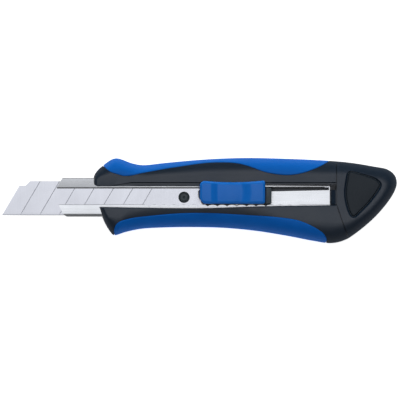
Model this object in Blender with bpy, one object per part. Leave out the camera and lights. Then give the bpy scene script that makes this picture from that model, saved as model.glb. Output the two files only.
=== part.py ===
"""Snap-off utility knife with an 18 mm blade, lying flat on its back face.

Frame: +X towards the end cap (the blade tip is at -X), +Y towards the spine of the blade,
+Z towards the side that carries the sliding button.  The back face of the handle is at Z = 0.
Sizes below are in millimetres; every mesh is turned into metres when it is made.
"""
import math

import bmesh
import bpy
import numpy as np
from mathutils import Vector

MM = 0.001

# ---- overall sizes of the handle -------------------------------------------------------
HANDLE_LENGTH = 160.4
HANDLE_WIDTH = 45.1
HANDLE_THICKNESS = 17.0

# ---- clearances ------------------------------------------------------------------------
FIT = 0.3          # between pieces that are fixed to each other
RUN = 0.25         # between pieces that slide past each other

# ---- blade -----------------------------------------------------------------------------
BLADE_WIDTH = 18.0
BLADE_LENGTH = 107.3
BLADE_THICKNESS = 0.5
BLADE_HOLE_FROM_END = 11.0
BLADE_EDGE_Y = -7.75          # the cutting edge
BLADE_GRIND = 1.7             # width of the ground strip along the edge
SEGMENT = 10.24               # length of one snap-off segment
SEGMENT_COUNT = 7
SEGMENT_SLANT = 59.5          # degrees from the long axis
SCORE_DEPTH = 0.12
SCORE_WIDTH = 0.4

# ---- folded steel channel --------------------------------------------------------------
STEEL = 0.8
CHANNEL_EDGE_CLEARANCE = 0.3  # beside the cutting edge
CHANNEL_BACK_CLEARANCE = 0.9  # beside the back of the blade
CHANNEL_OVERHANG = 20.0       # how far it stands out of the handle's nose
SLOT_WIDTH = 8.9              # opening between the two lips
SLOT_OFFSET = 1.1             # middle of the opening, above the middle of the blade
NOTCH_PITCH = SEGMENT / 2
NOTCH_DEPTH = 1.0
NOTCHES_FORWARD = 9           # lock steps from the rest position to full extension
NOTCHES_BACK = 6              # lock steps from the rest position to fully drawn in

# ---- blade carrier, lock and button ----------------------------------------------------
STUD_X = -8.2
STUD_DROP = 0.6               # below the middle of the opening
STUD_RADIUS = 2.8
STUD_RISE = 1.1               # above the blade
ARM_THICKNESS = 0.85
ARM_NOSE = 5.0                # in front of the stud
CARRIER_FRONT = -0.7
CARRIER_REAR = 38.0
FLANGE_THICKNESS = 1.4
REAR_BLOCK_LENGTH = 3.1
REAR_BLOCK_HEIGHT = 3.2
TOOTH_X = 19.7
LEAF_THICKNESS = 0.35
LEAF_HALF_LENGTH = 10.0
PRESS_TRAVEL = 1.2
BUTTON_LENGTH = 34.1
BUTTON_FRONT = 0.5
BUTTON_HEIGHT = 4.6           # crest above the handle's face
SADDLE_DEPTH = 1.5
OVERHANG = 2.9                # of the button, beyond the window's upper edge

# ---- shells, grips, end cap ------------------------------------------------------------
GRIP_THICKNESS = 1.8
CAP_WALL = 2.4
SPIGOT_LENGTH = 7.0
TONGUE_LENGTH = 2.8
JAW_FRONT = -55.9             # foremost station of the upper jaw
JAW_CORNER = 1.8              # radius of its corner beside the window
STEP_DEPTH = 0.8              # shallow step along the upper edge of the window
WINDOW_MARGIN = 1.0           # window edge beyond the upper lip's edge
STEP_WIDTH = 1.8              # the step, beyond the window edge
BADGE_DEPTH = 1.0
BADGE_GROOVE = 1.1
SCREW_HEAD_RADIUS = 1.9
SCREW_HEAD_HEIGHT = 1.6
SCREW_SHANK_RADIUS = 1.2
SCREW_GRIP = 3.2              # reach into the front shell
RIVET_HEAD_RADIUS = 1.9
RIVET_SHANK_RADIUS = 1.1
RIVET_GRIP = 3.2              # reach into the back shell

CURVE_STEP = 8.0              # spacing of the points along free curves
ROUND_ANGLES = (0.0, 26.0, 56.0, 90.0)
ROUND_POWER = 2.0 / 2.3
CURVED_SOLVER = 'MANIFOLD'    # the exact solver loses a cut now and then on the curved body

# Stations round the handle, clockwise from the nose of the upper jaw.  Each one holds the
# widest point of the handle (x, y) and the matching edge of the flat face (x, y).
STATIONS = [
    (-55.9, 7.8, -54.6, 7.8), (-55.9, 12.8, -54.5, 12.0), (-54.4, 15.5, -52.6, 13.6),
    (-50.2, 19.3, -48.2, 15.4), (-46.2, 21.9, -45.6, 16.6), (-43.8, 22.36, -43.6, 16.9),
    (-41.2, 21.8, -41.0, 16.6), (-36.2, 19.9, -36.0, 15.2), (-30.4, 18.8, -30.3, 14.4),
    (-18.5, 19.9, -18.5, 15.2), (-2.0, 21.4, -2.0, 16.4), (12.0, 22.25, 12.0, 16.9),
    (25.9, 22.57, 25.9, 17.0), (45.0, 22.15, 45.0, 16.4), (62.0, 21.45, 62.0, 15.4),
    (78.7, 20.2, 77.5, 13.2), (92.0, 18.1, 89.0, 11.2), (99.8, 16.4, 94.5, 10.2),
    (103.4, 13.4, 97.0, 9.0), (104.5, 9.5, 97.6, 7.3), (103.6, 5.6, 96.6, 4.6),
    (99.8, -0.7, 93.4, 0.0), (92.4, -9.2, 87.0, -6.2), (82.9, -17.2, 79.0, -10.6),
    (77.2, -20.8, 73.5, -11.6), (70.0, -22.55, 68.0, -11.4), (60.0, -21.3, 59.0, -10.9),
    (47.0, -18.8, 47.0, -9.4), (30.1, -16.1, 30.1, -8.0), (13.2, -14.5, 13.2, -7.2),
    (-3.7, -14.07, -3.7, -7.0), (-18.0, -14.25, -18.0, -7.6), (-31.0, -15.0, -31.0, -9.0),
    (-39.6, -16.8, -38.6, -11.0), (-43.8, -18.2, -42.6, -13.4), (-45.6, -18.3, -44.5, -15.0),
    (-47.2, -16.6, -46.0, -14.5), (-50.2, -11.7, -48.9, -10.6), (-53.2, -3.5, -51.8, -3.5),
]

# Inner border of the upper grip, nose to rear, and of the lower grip, nose to rear.
UPPER_GRIP_BORDER = [
    (-53.2, 20.2), (-50.7, 18.0), (-47.0, 15.1), (-43.8, 14.0), (-40.0, 13.0), (-36.2, 13.1),
    (-31.2, 14.3), (-18.5, 16.7), (-5.8, 18.7), (3.0, 19.9), (13.2, 20.2), (19.5, 19.8),
    (25.9, 18.2), (35.4, 14.8), (46.2, 13.4), (54.4, 14.5), (63.9, 18.2), (68.4, 20.9),
    (71.0, 22.6),
]
LOWER_GRIP_BORDER = [
    (-45.0, -21.0), (-45.2, -17.2), (-44.9, -14.2), (-43.0, -11.6), (-37.5, -9.6),
    (-24.8, -7.9), (-10.0, -6.7), (6.0, -6.6), (22.7, -7.5), (41.7, -8.8), (52.0, -10.4),
    (60.7, -14.1), (66.2, -18.2), (67.3, -21.0), (66.6, -24.0),
]
# Lower edge of the window: station along the handle, distance below the lower lip's edge.
WINDOW_LOWER_EDGE = [
    (-58.0, 1.1), (-40.0, 1.5), (-12.0, 1.9), (5.0, 1.85), (20.0, 1.35), (35.0, 0.9),
    (58.0, 0.5), (74.2, 0.3),
]
WINDOW_FRONT_STATION = -58.0
WINDOW_REAR_STATION = 74.2
# The line where the end cap meets the shells, spine to belly.
SEAM = [(72.2, 26.0), (72.2, -2.0), (75.7, -12.1), (79.4, -22.0), (80.0, -26.0)]
BADGE = [
    (79.6, 15.2), (87.5, 13.2), (93.0, 11.0), (95.3, 8.4), (93.8, 5.2), (89.3, -0.8),
    (85.2, -5.0), (81.6, -8.2), (80.2, -7.4), (77.9, -1.0), (77.3, 5.0), (78.2, 11.5),
    (78.8, 14.6),
]
SCREWS = [(-50.4, 13.6), (13.5, 15.7), (62.0, -12.4), (-46.0, -11.0)]
RIVET_STATIONS = [-46.0, 27.0]

COLOURS = {
    "black_plastic": ((0.040, 0.047, 0.058), 0.0, 0.48),
    "badge_plastic": ((0.026, 0.036, 0.047), 0.0, 0.42),
    "grip_blue": ((0.006, 0.100, 0.330), 0.0, 0.55),
    "slider_blue": ((0.020, 0.125, 0.410), 0.0, 0.42),
    "channel_steel": ((0.720, 0.730, 0.740), 1.0, 0.30),
    "blade_steel": ((0.640, 0.660, 0.700), 1.0, 0.24),
    "screw_steel": ((0.420, 0.430, 0.450), 1.0, 0.36),
    "spring_steel": ((0.500, 0.510, 0.520), 1.0, 0.34),
}


# ---- sizes that follow from the ones above ---------------------------------------------
def along(x):
    """A station along the handle, moved in step with the handle's length."""
    return x * HANDLE_LENGTH / 160.4


def across(y):
    """A station across the handle, moved in step with the handle's width."""
    return y * HANDLE_WIDTH / 45.1


MID = HANDLE_THICKNESS / 2
FACE = HANDLE_THICKNESS
FLOOR_BOTTOM = MID + FIT
FLOOR_TOP = FLOOR_BOTTOM + STEEL
ARM_BOTTOM = FLOOR_TOP + RUN
ARM_TOP = ARM_BOTTOM + ARM_THICKNESS
BLADE_BOTTOM = ARM_TOP + RUN
BLADE_TOP = BLADE_BOTTOM + BLADE_THICKNESS
LIP_BOTTOM = BLADE_TOP + RUN
LIP_TOP = LIP_BOTTOM + STEEL
ROOF = LIP_TOP + FIT
FLANGE_TOP = ROOF + FLANGE_THICKNESS
BUTTON_BOTTOM = FLANGE_TOP + PRESS_TRAVEL + RUN
OVERHANG_BOTTOM = FACE + PRESS_TRAVEL + RUN
BUTTON_TOP = FACE + BUTTON_HEIGHT
LEAF_TOP = LIP_TOP - 0.1
STEP_FLOOR = FACE - STEP_DEPTH
SCREW_BASE = 2 * FIT                       # the head lies this deep in the back face
SCREW_SEAT = SCREW_BASE + SCREW_HEAD_HEIGHT + FIT
SCREW_TIP = MID + SCREW_GRIP
RIVET_FOOT = MID - RIVET_GRIP

BLADE_BACK_Y = BLADE_EDGE_Y + BLADE_WIDTH
CHANNEL_LOW = BLADE_EDGE_Y - CHANNEL_EDGE_CLEARANCE - STEEL
CHANNEL_HIGH = BLADE_BACK_Y + CHANNEL_BACK_CLEARANCE + STEEL
SLOT_MIDDLE = BLADE_EDGE_Y + BLADE_WIDTH / 2 + SLOT_OFFSET
UPPER_LIP_EDGE = SLOT_MIDDLE + SLOT_WIDTH / 2
LOWER_LIP_EDGE = SLOT_MIDDLE - SLOT_WIDTH / 2
WINDOW_TOP = UPPER_LIP_EDGE + WINDOW_MARGIN
STEP_TOP = WINDOW_TOP + STEP_WIDTH
OVERHANG_Y = WINDOW_TOP + OVERHANG
STUD_Y = SLOT_MIDDLE - STUD_DROP
RIVETS = [(station, STUD_Y) for station in RIVET_STATIONS]
CHANNEL_FRONT = along(-55.5) - CHANNEL_OVERHANG
CHANNEL_REAR = along(69.0)
SEAM_X = along(72.2)
TANG_X = STUD_X + BLADE_HOLE_FROM_END
TIP_X = TANG_X - BLADE_LENGTH
BUTTON_REAR = BUTTON_FRONT + BUTTON_LENGTH
NECK_LOW = LOWER_LIP_EDGE + RUN
NECK_HIGH = UPPER_LIP_EDGE - RUN
FLANGE_LOW = LOWER_LIP_EDGE + 0.1
BUTTON_LOW = FLANGE_LOW + 0.3
FLANGE_HIGH = WINDOW_TOP - 2 * FIT


# ---- curves ----------------------------------------------------------------------------
def smooth_curve(points, closed, step=CURVE_STEP):
    """Points along a smooth curve through the given points."""
    given = [np.array(point, float) for point in points]
    count = len(given)
    spans = count if closed else count - 1
    result = []
    for index in range(spans):
        here = given[index]
        after = given[(index + 1) % count]
        before = given[index - 1] if (closed or index > 0) else 2 * here - after
        beyond = given[(index + 2) % count] if (closed or index + 2 < count) else 2 * after - here
        gap_a = math.sqrt(np.linalg.norm((here - before)[:2]))
        gap_b = math.sqrt(np.linalg.norm((after - here)[:2]))
        gap_c = math.sqrt(np.linalg.norm((beyond - after)[:2]))
        leave = (here - before) / gap_a - (after - before) / (gap_a + gap_b) + (after - here) / gap_b
        arrive = (after - here) / gap_b - (beyond - here) / (gap_b + gap_c) + (beyond - after) / gap_c
        pieces = max(1, round(gap_b * gap_b / step))
        for piece in range(pieces):
            t = piece / pieces
            result.append(
                here * (2 * t ** 3 - 3 * t ** 2 + 1)
                + leave * gap_b * (t ** 3 - 2 * t ** 2 + t)
                + after * (3 * t ** 2 - 2 * t ** 3)
                + arrive * gap_b * (t ** 3 - t ** 2)
            )
    if not closed:
        result.append(given[-1])
    return result


def rounded_outline(corners, segments=3):
    """A closed outline with each corner (a, b, radius) turned into an arc."""
    outline = []
    count = len(corners)
    for index in range(count):
        corner = np.array(corners[index][:2], float)
        radius = corners[index][2]
        if radius <= 0:
            outline.append(tuple(corner))
            continue
        back = np.array(corners[index - 1][:2], float) - corner
        ahead = np.array(corners[(index + 1) % count][:2], float) - corner
        back /= np.linalg.norm(back)
        ahead /= np.linalg.norm(ahead)
        half = math.acos(max(-1.0, min(1.0, float(back @ ahead)))) / 2
        reach = radius / math.tan(half)
        middle = (back + ahead) / np.linalg.norm(back + ahead)
        centre = corner + middle * radius / math.sin(half)
        start = corner + back * reach - centre
        end = corner + ahead * reach - centre
        for step in range(segments + 1):
            t = step / segments
            blend = start * (1 - t) + end * t
            outline.append(tuple(centre + blend / np.linalg.norm(blend) * radius))
    return outline


def moved_sideways(points, distance):
    """An open curve moved to its right-hand side by a distance."""
    moved = []
    for index, point in enumerate(points):
        before = np.array(points[max(index - 1, 0)][:2])
        after = np.array(points[min(index + 1, len(points) - 1)][:2])
        way = (after - before) / np.linalg.norm(after - before)
        moved.append((point[0] + way[1] * distance, point[1] - way[0] * distance))
    return moved


# ---- solids ----------------------------------------------------------------------------
def solid_from_rings(name, rings):
    """A closed solid through a stack of rings with the same number of points."""
    build = bmesh.new()
    loops = []
    for ring in rings:
        loops.append([build.verts.new(Vector(point) * MM) for point in ring])
    count = len(loops[0])
    for lower, upper in zip(loops, loops[1:]):
        for index in range(count):
            after = (index + 1) % count
            build.faces.new((lower[index], lower[after], upper[after], upper[index]))
    build.faces.new(loops[0][::-1])
    build.faces.new(loops[-1])
    bmesh.ops.triangulate(build, faces=build.faces[:])
    bmesh.ops.recalc_face_normals(build, faces=build.faces[:])
    mesh = bpy.data.meshes.new(name)
    build.to_mesh(mesh)
    build.free()
    piece = bpy.data.objects.new(name, mesh)
    bpy.context.scene.collection.objects.link(piece)
    return piece


def prism_z(name, outline, low, high):
    return solid_from_rings(name, [[(p[0], p[1], z) for p in outline] for z in (low, high)])


def prism_x(name, profile, low, high):
    return solid_from_rings(name, [[(x, p[0], p[1]) for p in profile] for x in (low, high)])


def prism_y(name, profile, low, high):
    return solid_from_rings(name, [[(p[0], y, p[1]) for p in profile] for y in (low, high)])


def block(name, x, y, z):
    outline = [(x[0], y[0]), (x[1], y[0]), (x[1], y[1]), (x[0], y[1])]
    return prism_z(name, outline, z[0], z[1])


def turned(name, x, y, profile, sides=16):
    """A round solid about an upright axis, from (radius, z) pairs, bottom to top."""
    rings = []
    for radius, z in profile:
        ring = []
        for side in range(sides):
            angle = 2 * math.pi * side / sides
            ring.append((x + radius * math.cos(angle), y + radius * math.sin(angle), z))
        rings.append(ring)
    return solid_from_rings(name, rings)


def combine(target, tool, operation, solver):
    """Join, cut or intersect the target with a tool that is used up."""
    modifier = target.modifiers.new("combine", 'BOOLEAN')
    modifier.operation = operation
    modifier.solver = solver
    modifier.object = tool
    graph = bpy.context.evaluated_depsgraph_get()
    result = bpy.data.meshes.new_from_object(target.evaluated_get(graph))
    target.modifiers.clear()
    previous = target.data
    target.data = result
    bpy.data.meshes.remove(previous)
    used = tool.data
    bpy.data.objects.remove(tool)
    bpy.data.meshes.remove(used)
    return target


def cut(target, tool, solver='EXACT'):
    return combine(target, tool, 'DIFFERENCE', solver)


def keep(target, tool, solver='EXACT'):
    return combine(target, tool, 'INTERSECT', solver)


def join(target, tool, solver='EXACT'):
    return combine(target, tool, 'UNION', solver)


# ---- handle surface --------------------------------------------------------------------
HANDLE_CURVE = smooth_curve(
    [(along(a), across(b), along(c), across(d)) for a, b, c, d in STATIONS], closed=True
)


def handle_ring(angle, inset):
    """One level ring of the handle's rounded side, from its widest line (0) to a face (90)."""
    turn = math.radians(abs(angle))
    out_share = max(math.cos(turn), 0.0) ** ROUND_POWER if abs(angle) < 90 else 0.0
    rise_share = math.sin(turn) ** ROUND_POWER
    height = MID + math.copysign((MID - inset) * rise_share, angle)
    ring = []
    for station in HANDLE_CURVE:
        wide = station[:2]
        flat = station[2:]
        depth = float(np.linalg.norm(flat - wide))
        start = wide + (flat - wide) * min(inset / depth, 0.8)
        point = flat + (start - flat) * out_share
        ring.append((point[0], point[1], height))
    return ring


def handle_solid(name, inset=0.0, side=0, start=0.0):
    """The handle's body, or one half of it (side +1 front, -1 back) from a start level."""
    if side == 0:
        angles = [-a for a in ROUND_ANGLES[:0:-1]] + list(ROUND_ANGLES)
        return solid_from_rings(name, [handle_ring(angle, inset) for angle in angles])
    rings = [[(p[0], p[1], MID + start * side) for p in handle_ring(0.0, inset)]]
    for angle in ROUND_ANGLES[1:]:
        rings.append(handle_ring(angle * side, inset))
    return solid_from_rings(name, rings)


def grip_region(border, outside, growth):
    """The outline that holds a grip, closed round the outside of the handle."""
    placed = [(along(x), across(y)) for x, y in border]
    curve = moved_sideways(smooth_curve(placed, closed=False), growth)
    return [(p[0], p[1]) for p in curve] + [(along(x), across(y)) for x, y in outside]


UPPER_OUTSIDE = [(71.0, 30.0), (-58.0, 30.0)]
LOWER_OUTSIDE = [(66.0, -30.0), (-45.0, -30.0)]


def make_grip(name, border, outside, side):
    region = grip_region(border, outside, 0.0)
    grip = handle_solid(name, 0.0, side, FIT / 2)
    keep(grip, prism_z("region", region, -1.0, FACE + 1.0), CURVED_SOLVER)
    return cut(grip, handle_solid("core", GRIP_THICKNESS, side, -1.0), CURVED_SOLVER)


def grip_pocket(border, outside, side, growth_sign):
    region = grip_region(border, outside, FIT * growth_sign)
    low, high = (MID - 1.0, FACE + 1.0) if side > 0 else (-1.0, MID + 1.0)
    pocket = prism_z("pocket", region, low, high)
    return cut(pocket, handle_solid("core", GRIP_THICKNESS + FIT, side, -2.0), CURVED_SOLVER)


def seam_region(shift, far):
    """Everything on the end-cap side of the seam, moved back by a shift."""
    line = [(along(x) + shift, across(y)) for x, y in SEAM]
    return line + [(along(far), across(-26.0)), (along(far), across(26.0))]


def window_outline():
    lower = [(along(x), LOWER_LIP_EDGE - y) for x, y in WINDOW_LOWER_EDGE]
    curve = [(p[0], p[1]) for p in smooth_curve(lower, closed=False, step=12.0)]
    return curve + [(along(WINDOW_REAR_STATION), WINDOW_TOP), (along(WINDOW_FRONT_STATION), WINDOW_TOP)]


def drill(target, x, y, profile, solver='EXACT'):
    return cut(target, turned("drill", x, y, profile), solver)


# ---- shells ----------------------------------------------------------------------------
def make_shell(name, side):
    shell = handle_solid(name, 0.0, side, FIT / 2)
    cut(shell, grip_pocket(UPPER_GRIP_BORDER, UPPER_OUTSIDE, side, 1), CURVED_SOLVER)
    cut(shell, grip_pocket(LOWER_GRIP_BORDER, LOWER_OUTSIDE, side, -1), CURVED_SOLVER)
    past_seam = prism_z("past_seam", seam_region(0.0, 112.0), -2.0, FACE + 2.0)
    cut(past_seam, handle_solid("spigot", CAP_WALL + FIT), CURVED_SOLVER)
    cut(shell, past_seam, CURVED_SOLVER)
    behind = prism_z("behind_spigot", seam_region(SPIGOT_LENGTH, 112.0), -2.0, FACE + 2.0)
    return cut(shell, behind, CURVED_SOLVER)


def jaw_corner_outline():
    """The waste outside the rounded corner between the jaw's front and the window."""
    front = along(JAW_FRONT)
    outline = [(front - 2.0, WINDOW_TOP - 1.0), (front + JAW_CORNER, WINDOW_TOP - 1.0)]
    for turn in map(math.radians, (0, 30, 60, 90)):
        outline.append((front + JAW_CORNER * (1 - math.sin(turn)),
                        WINDOW_TOP + JAW_CORNER * (1 - math.cos(turn))))
    return outline + [(front - 2.0, WINDOW_TOP + JAW_CORNER)]


def make_front_shell():
    shell = make_shell("front_shell", 1)
    room = block("channel_room", (along(-60.0), CHANNEL_REAR + FIT),
                 (CHANNEL_LOW - FIT, CHANNEL_HIGH + FIT), (MID - 1.0, ROOF))
    cut(shell, room, CURVED_SOLVER)
    cut(shell, prism_z("window", window_outline(), MID - 0.5, FACE + 1.0), CURVED_SOLVER)
    cut(shell, prism_z("jaw_corner", jaw_corner_outline(), MID, FACE + 1.0), CURVED_SOLVER)
    step_end = along(WINDOW_REAR_STATION)
    step = [(along(-42.0), WINDOW_TOP - 1), (along(-34.0), STEP_TOP), (step_end, STEP_TOP),
            (step_end, WINDOW_TOP - 1)]
    cut(shell, prism_z("step", step, STEP_FLOOR, FACE + 1.0), CURVED_SOLVER)
    hole = SCREW_SHANK_RADIUS + FIT
    for x, y in SCREWS:
        drill(shell, along(x), across(y), [(hole, MID - 1.0), (hole, SCREW_TIP + 2 * FIT)],
              CURVED_SOLVER)
    return shell


def make_back_shell():
    shell = make_shell("back_shell", -1)
    seat = SCREW_HEAD_RADIUS + FIT
    hole = SCREW_SHANK_RADIUS + FIT
    for x, y in SCREWS:
        place = (along(x), across(y))
        drill(shell, *place, [(seat, -1.0), (seat, SCREW_SEAT)], CURVED_SOLVER)
        drill(shell, *place, [(hole, 0.5), (hole, MID + 1.0)], CURVED_SOLVER)
    hole = RIVET_SHANK_RADIUS + FIT
    for x, y in RIVETS:
        drill(shell, x, y, [(hole, RIVET_FOOT - FIT), (hole, MID + 1.0)], CURVED_SOLVER)
    return shell


def make_end_cap():
    cap = handle_solid("end_cap")
    keep(cap, prism_z("cap_region", seam_region(FIT, 112.0), -2.0, FACE + 2.0), CURVED_SOLVER)
    cut(cap, handle_solid("cap_room", CAP_WALL), CURVED_SOLVER)
    tongue = block("tongue", (SEAM_X - TONGUE_LENGTH, SEAM_X + 1.5),
                   (FLANGE_LOW, WINDOW_TOP - FIT), (FACE - CAP_WALL, STEP_FLOOR))
    join(cap, tongue, CURVED_SOLVER)
    outline = badge_outline(BADGE_GROOVE)
    cut(cap, prism_z("recess", outline, FACE - BADGE_DEPTH, FACE + 1.0), CURVED_SOLVER)
    return cut(cap, prism_z("recess", outline, -1.0, BADGE_DEPTH), CURVED_SOLVER)


def badge_outline(growth):
    placed = [(along(x), across(y)) for x, y in BADGE]
    curve = smooth_curve(placed, closed=True)
    wrapped = [curve[-1]] + curve + [curve[0]]
    moved = moved_sideways([(p[0], p[1]) for p in wrapped], -growth)
    return moved[1:-1]


def make_badge(name, side):
    low, high = (FACE - BADGE_DEPTH + FIT, FACE) if side > 0 else (0.0, BADGE_DEPTH - FIT)
    return prism_z(name, badge_outline(0.0), low, high)


# ---- channel and blade -----------------------------------------------------------------
def make_channel():
    bend = STEEL * 1.15
    profile = rounded_outline([
        (CHANNEL_LOW, FLOOR_BOTTOM, bend), (CHANNEL_HIGH, FLOOR_BOTTOM, bend),
        (CHANNEL_HIGH, LIP_TOP, bend), (UPPER_LIP_EDGE, LIP_TOP, 0),
        (UPPER_LIP_EDGE, LIP_BOTTOM, 0), (CHANNEL_HIGH - STEEL, LIP_BOTTOM, 0),
        (CHANNEL_HIGH - STEEL, FLOOR_TOP, 0), (CHANNEL_LOW + STEEL, FLOOR_TOP, 0),
        (CHANNEL_LOW + STEEL, LIP_BOTTOM, 0), (LOWER_LIP_EDGE, LIP_BOTTOM, 0),
        (LOWER_LIP_EDGE, LIP_TOP, 0), (CHANNEL_LOW, LIP_TOP, bend),
    ])
    channel = prism_x("blade_channel", profile, CHANNEL_FRONT, CHANNEL_REAR)
    nose = [
        (CHANNEL_FRONT - 3, CHANNEL_HIGH + 1), (CHANNEL_FRONT + 3.0, CHANNEL_HIGH + 1),
        (CHANNEL_FRONT + 2.8, CHANNEL_HIGH - 0.3), (CHANNEL_FRONT, UPPER_LIP_EDGE + 0.3),
        (CHANNEL_FRONT + 1.1, LOWER_LIP_EDGE - 0.4), (CHANNEL_FRONT + 3.7, CHANNEL_LOW + 2.3),
        (CHANNEL_FRONT + 5.0, CHANNEL_LOW + 0.5), (CHANNEL_FRONT + 5.4, CHANNEL_LOW - 1),
        (CHANNEL_FRONT - 3, CHANNEL_LOW - 1),
    ]
    cut(channel, prism_z("nose", nose, FLOOR_BOTTOM - 1, LIP_TOP + 1))
    cut(channel, prism_z("scallops", scallop_outline(), LIP_BOTTOM - 0.5, LIP_TOP + 1))
    for x, y in RIVETS:
        drill(channel, x, y, [
            (RIVET_SHANK_RADIUS + FIT, FLOOR_BOTTOM - 0.5),
            (RIVET_SHANK_RADIUS + FIT, FLOOR_BOTTOM),
            (RIVET_HEAD_RADIUS + FIT, FLOOR_TOP),
            (RIVET_HEAD_RADIUS + FIT, FLOOR_TOP + 0.5),
        ])
    return channel


def scallop_outline():
    """The waste above a row of rounded bumps with sharp notches between them."""
    first = TOOTH_X - NOTCHES_FORWARD * NOTCH_PITCH
    steps = NOTCHES_FORWARD + NOTCHES_BACK
    half = NOTCH_PITCH / 2
    radius = (half * half + NOTCH_DEPTH * NOTCH_DEPTH) / (2 * NOTCH_DEPTH)
    root = LOWER_LIP_EDGE - NOTCH_DEPTH
    outline = [(first - half, LOWER_LIP_EDGE + 0.5), (first - half, LOWER_LIP_EDGE)]
    outline.append((first, root))
    for step in range(steps):
        middle = first + (step + 0.5) * NOTCH_PITCH
        for share in (-0.6, -0.2, 0.2, 0.6):
            offset = share * half
            rise = math.sqrt(radius * radius - offset * offset) - (radius - NOTCH_DEPTH)
            outline.append((middle + offset, root + rise))
        outline.append((middle + half, root))
    last = first + steps * NOTCH_PITCH
    outline.append((last + half, LOWER_LIP_EDGE))
    outline.append((last + half, LOWER_LIP_EDGE + 0.5))
    return outline


def make_blade():
    centre = (BLADE_BOTTOM + BLADE_TOP) / 2
    profile = [
        (BLADE_BACK_Y, BLADE_BOTTOM), (BLADE_BACK_Y, BLADE_TOP),
        (BLADE_EDGE_Y + BLADE_GRIND, BLADE_TOP), (BLADE_EDGE_Y, centre + 0.03),
        (BLADE_EDGE_Y, centre - 0.03), (BLADE_EDGE_Y + BLADE_GRIND, BLADE_BOTTOM),
    ]
    blade = prism_x("blade", profile, TIP_X, TANG_X)
    lean = 1.0 / math.tan(math.radians(SEGMENT_SLANT))
    ledge = BLADE_BACK_Y - 2.3
    ledge_x = TIP_X + (ledge - BLADE_EDGE_Y) * lean
    front = [
        (TIP_X - 1.0, BLADE_EDGE_Y - 1.0 * math.tan(math.radians(SEGMENT_SLANT))),
        (ledge_x, ledge), (ledge_x + 3.3, ledge), (ledge_x + 3.3 + 2.4, BLADE_BACK_Y + 0.1),
        (ledge_x + 3.3 + 2.4, BLADE_BACK_Y + 2.0), (TIP_X - 4.0, BLADE_BACK_Y + 2.0),
        (TIP_X - 4.0, BLADE_EDGE_Y - 2.0),
    ]
    cut(blade, prism_z("front", front, BLADE_BOTTOM - 1, BLADE_TOP + 1))
    for index in range(SEGMENT_COUNT):
        base = TIP_X + 9.65 + index * SEGMENT
        edge_x = base
        back_x = base + BLADE_WIDTH * lean
        half = SCORE_WIDTH / 2
        ends = ((edge_x - 0.4 * lean, BLADE_EDGE_Y - 0.4), (back_x + 0.4 * lean, BLADE_BACK_Y + 0.4))
        rings = []
        for x, y in ends:
            rings.append([(x - half, y, BLADE_TOP + 0.02), (x, y, BLADE_TOP - SCORE_DEPTH),
                          (x + half, y, BLADE_TOP + 0.02)])
        cut(blade, solid_from_rings("score", rings))
    for y, way in ((BLADE_BACK_Y, 1), (BLADE_EDGE_Y, -1)):
        corner = [(TANG_X - 2.2, y + way * 0.5), (TANG_X - 1.7, y), (TANG_X, y - way * 1.7),
                  (TANG_X + 0.5, y - way * 2.2), (TANG_X + 0.5, y + way * 0.5)]
        cut(blade, prism_z("corner", corner, BLADE_BOTTOM - 1, BLADE_TOP + 1))
    drill(blade, STUD_X, STUD_Y, [
        (STUD_RADIUS + FIT, BLADE_BOTTOM - 1), (STUD_RADIUS + FIT, BLADE_TOP + 1),
    ])
    return blade


# ---- carrier, lock spring and button ---------------------------------------------------
def make_carrier():
    arm = rounded_outline([
        (STUD_X - ARM_NOSE, NECK_LOW, 2.5), (CARRIER_REAR, NECK_LOW, 0.5),
        (CARRIER_REAR, NECK_HIGH - 1.0, 0.5), (STUD_X - ARM_NOSE, NECK_HIGH - 1.0, 2.5),
    ])
    carrier = prism_z("blade_carrier", arm, ARM_BOTTOM, ARM_TOP)
    join(carrier, turned("stud", STUD_X, STUD_Y, [
        (STUD_RADIUS, ARM_TOP - 0.4), (STUD_RADIUS, BLADE_TOP + STUD_RISE - 0.4),
        (STUD_RADIUS - 0.4, BLADE_TOP + STUD_RISE),
    ]))
    drill(carrier, STUD_X, STUD_Y, [
        (STUD_RADIUS - 1.3, BLADE_TOP + STUD_RISE - 0.3), (STUD_RADIUS - 1.3, BLADE_TOP + 3.0),
    ])
    neck_front = TANG_X + RUN
    join(carrier, block("neck", (neck_front, CARRIER_REAR - 0.8), (NECK_LOW + 0.1, NECK_HIGH - 0.1),
                        (ARM_BOTTOM + 0.2, ROOF + 0.4)))
    flange_rear = CARRIER_REAR - 0.4
    flange = rounded_outline([
        (CARRIER_FRONT, FLANGE_LOW, 2.6), (flange_rear, FLANGE_LOW, 0.6),
        (flange_rear, FLANGE_HIGH, 0.6), (CARRIER_FRONT, FLANGE_HIGH, 2.6),
    ])
    join(carrier, prism_z("flange", flange, ROOF, FLANGE_TOP))
    rear_front = CARRIER_REAR - REAR_BLOCK_LENGTH
    rear = rounded_outline([
        (rear_front, FLANGE_LOW + 0.2, 0), (CARRIER_REAR, FLANGE_LOW + 0.2, 0.6),
        (CARRIER_REAR, FLANGE_HIGH - 0.3, 0.6), (rear_front, FLANGE_HIGH - 0.3, 0),
    ])
    join(carrier, prism_z("rear", rear, FLANGE_TOP - 0.4, ROOF + REAR_BLOCK_HEIGHT))
    pocket_low = NECK_LOW + 1.1
    pocket_high = NECK_HIGH - 1.1
    cut(carrier, block("pocket", (TOOTH_X - LEAF_HALF_LENGTH - 1.0, TOOTH_X + LEAF_HALF_LENGTH + 1.0),
                       (pocket_low, pocket_high), (ARM_TOP, FLANGE_TOP + 1.0)))
    cut(carrier, block("tooth_slot", (TOOTH_X - 2.0, TOOTH_X + 2.0), (NECK_LOW - 2.0, pocket_low + 0.5),
                       (ARM_TOP, ROOF)))
    return carrier


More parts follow.
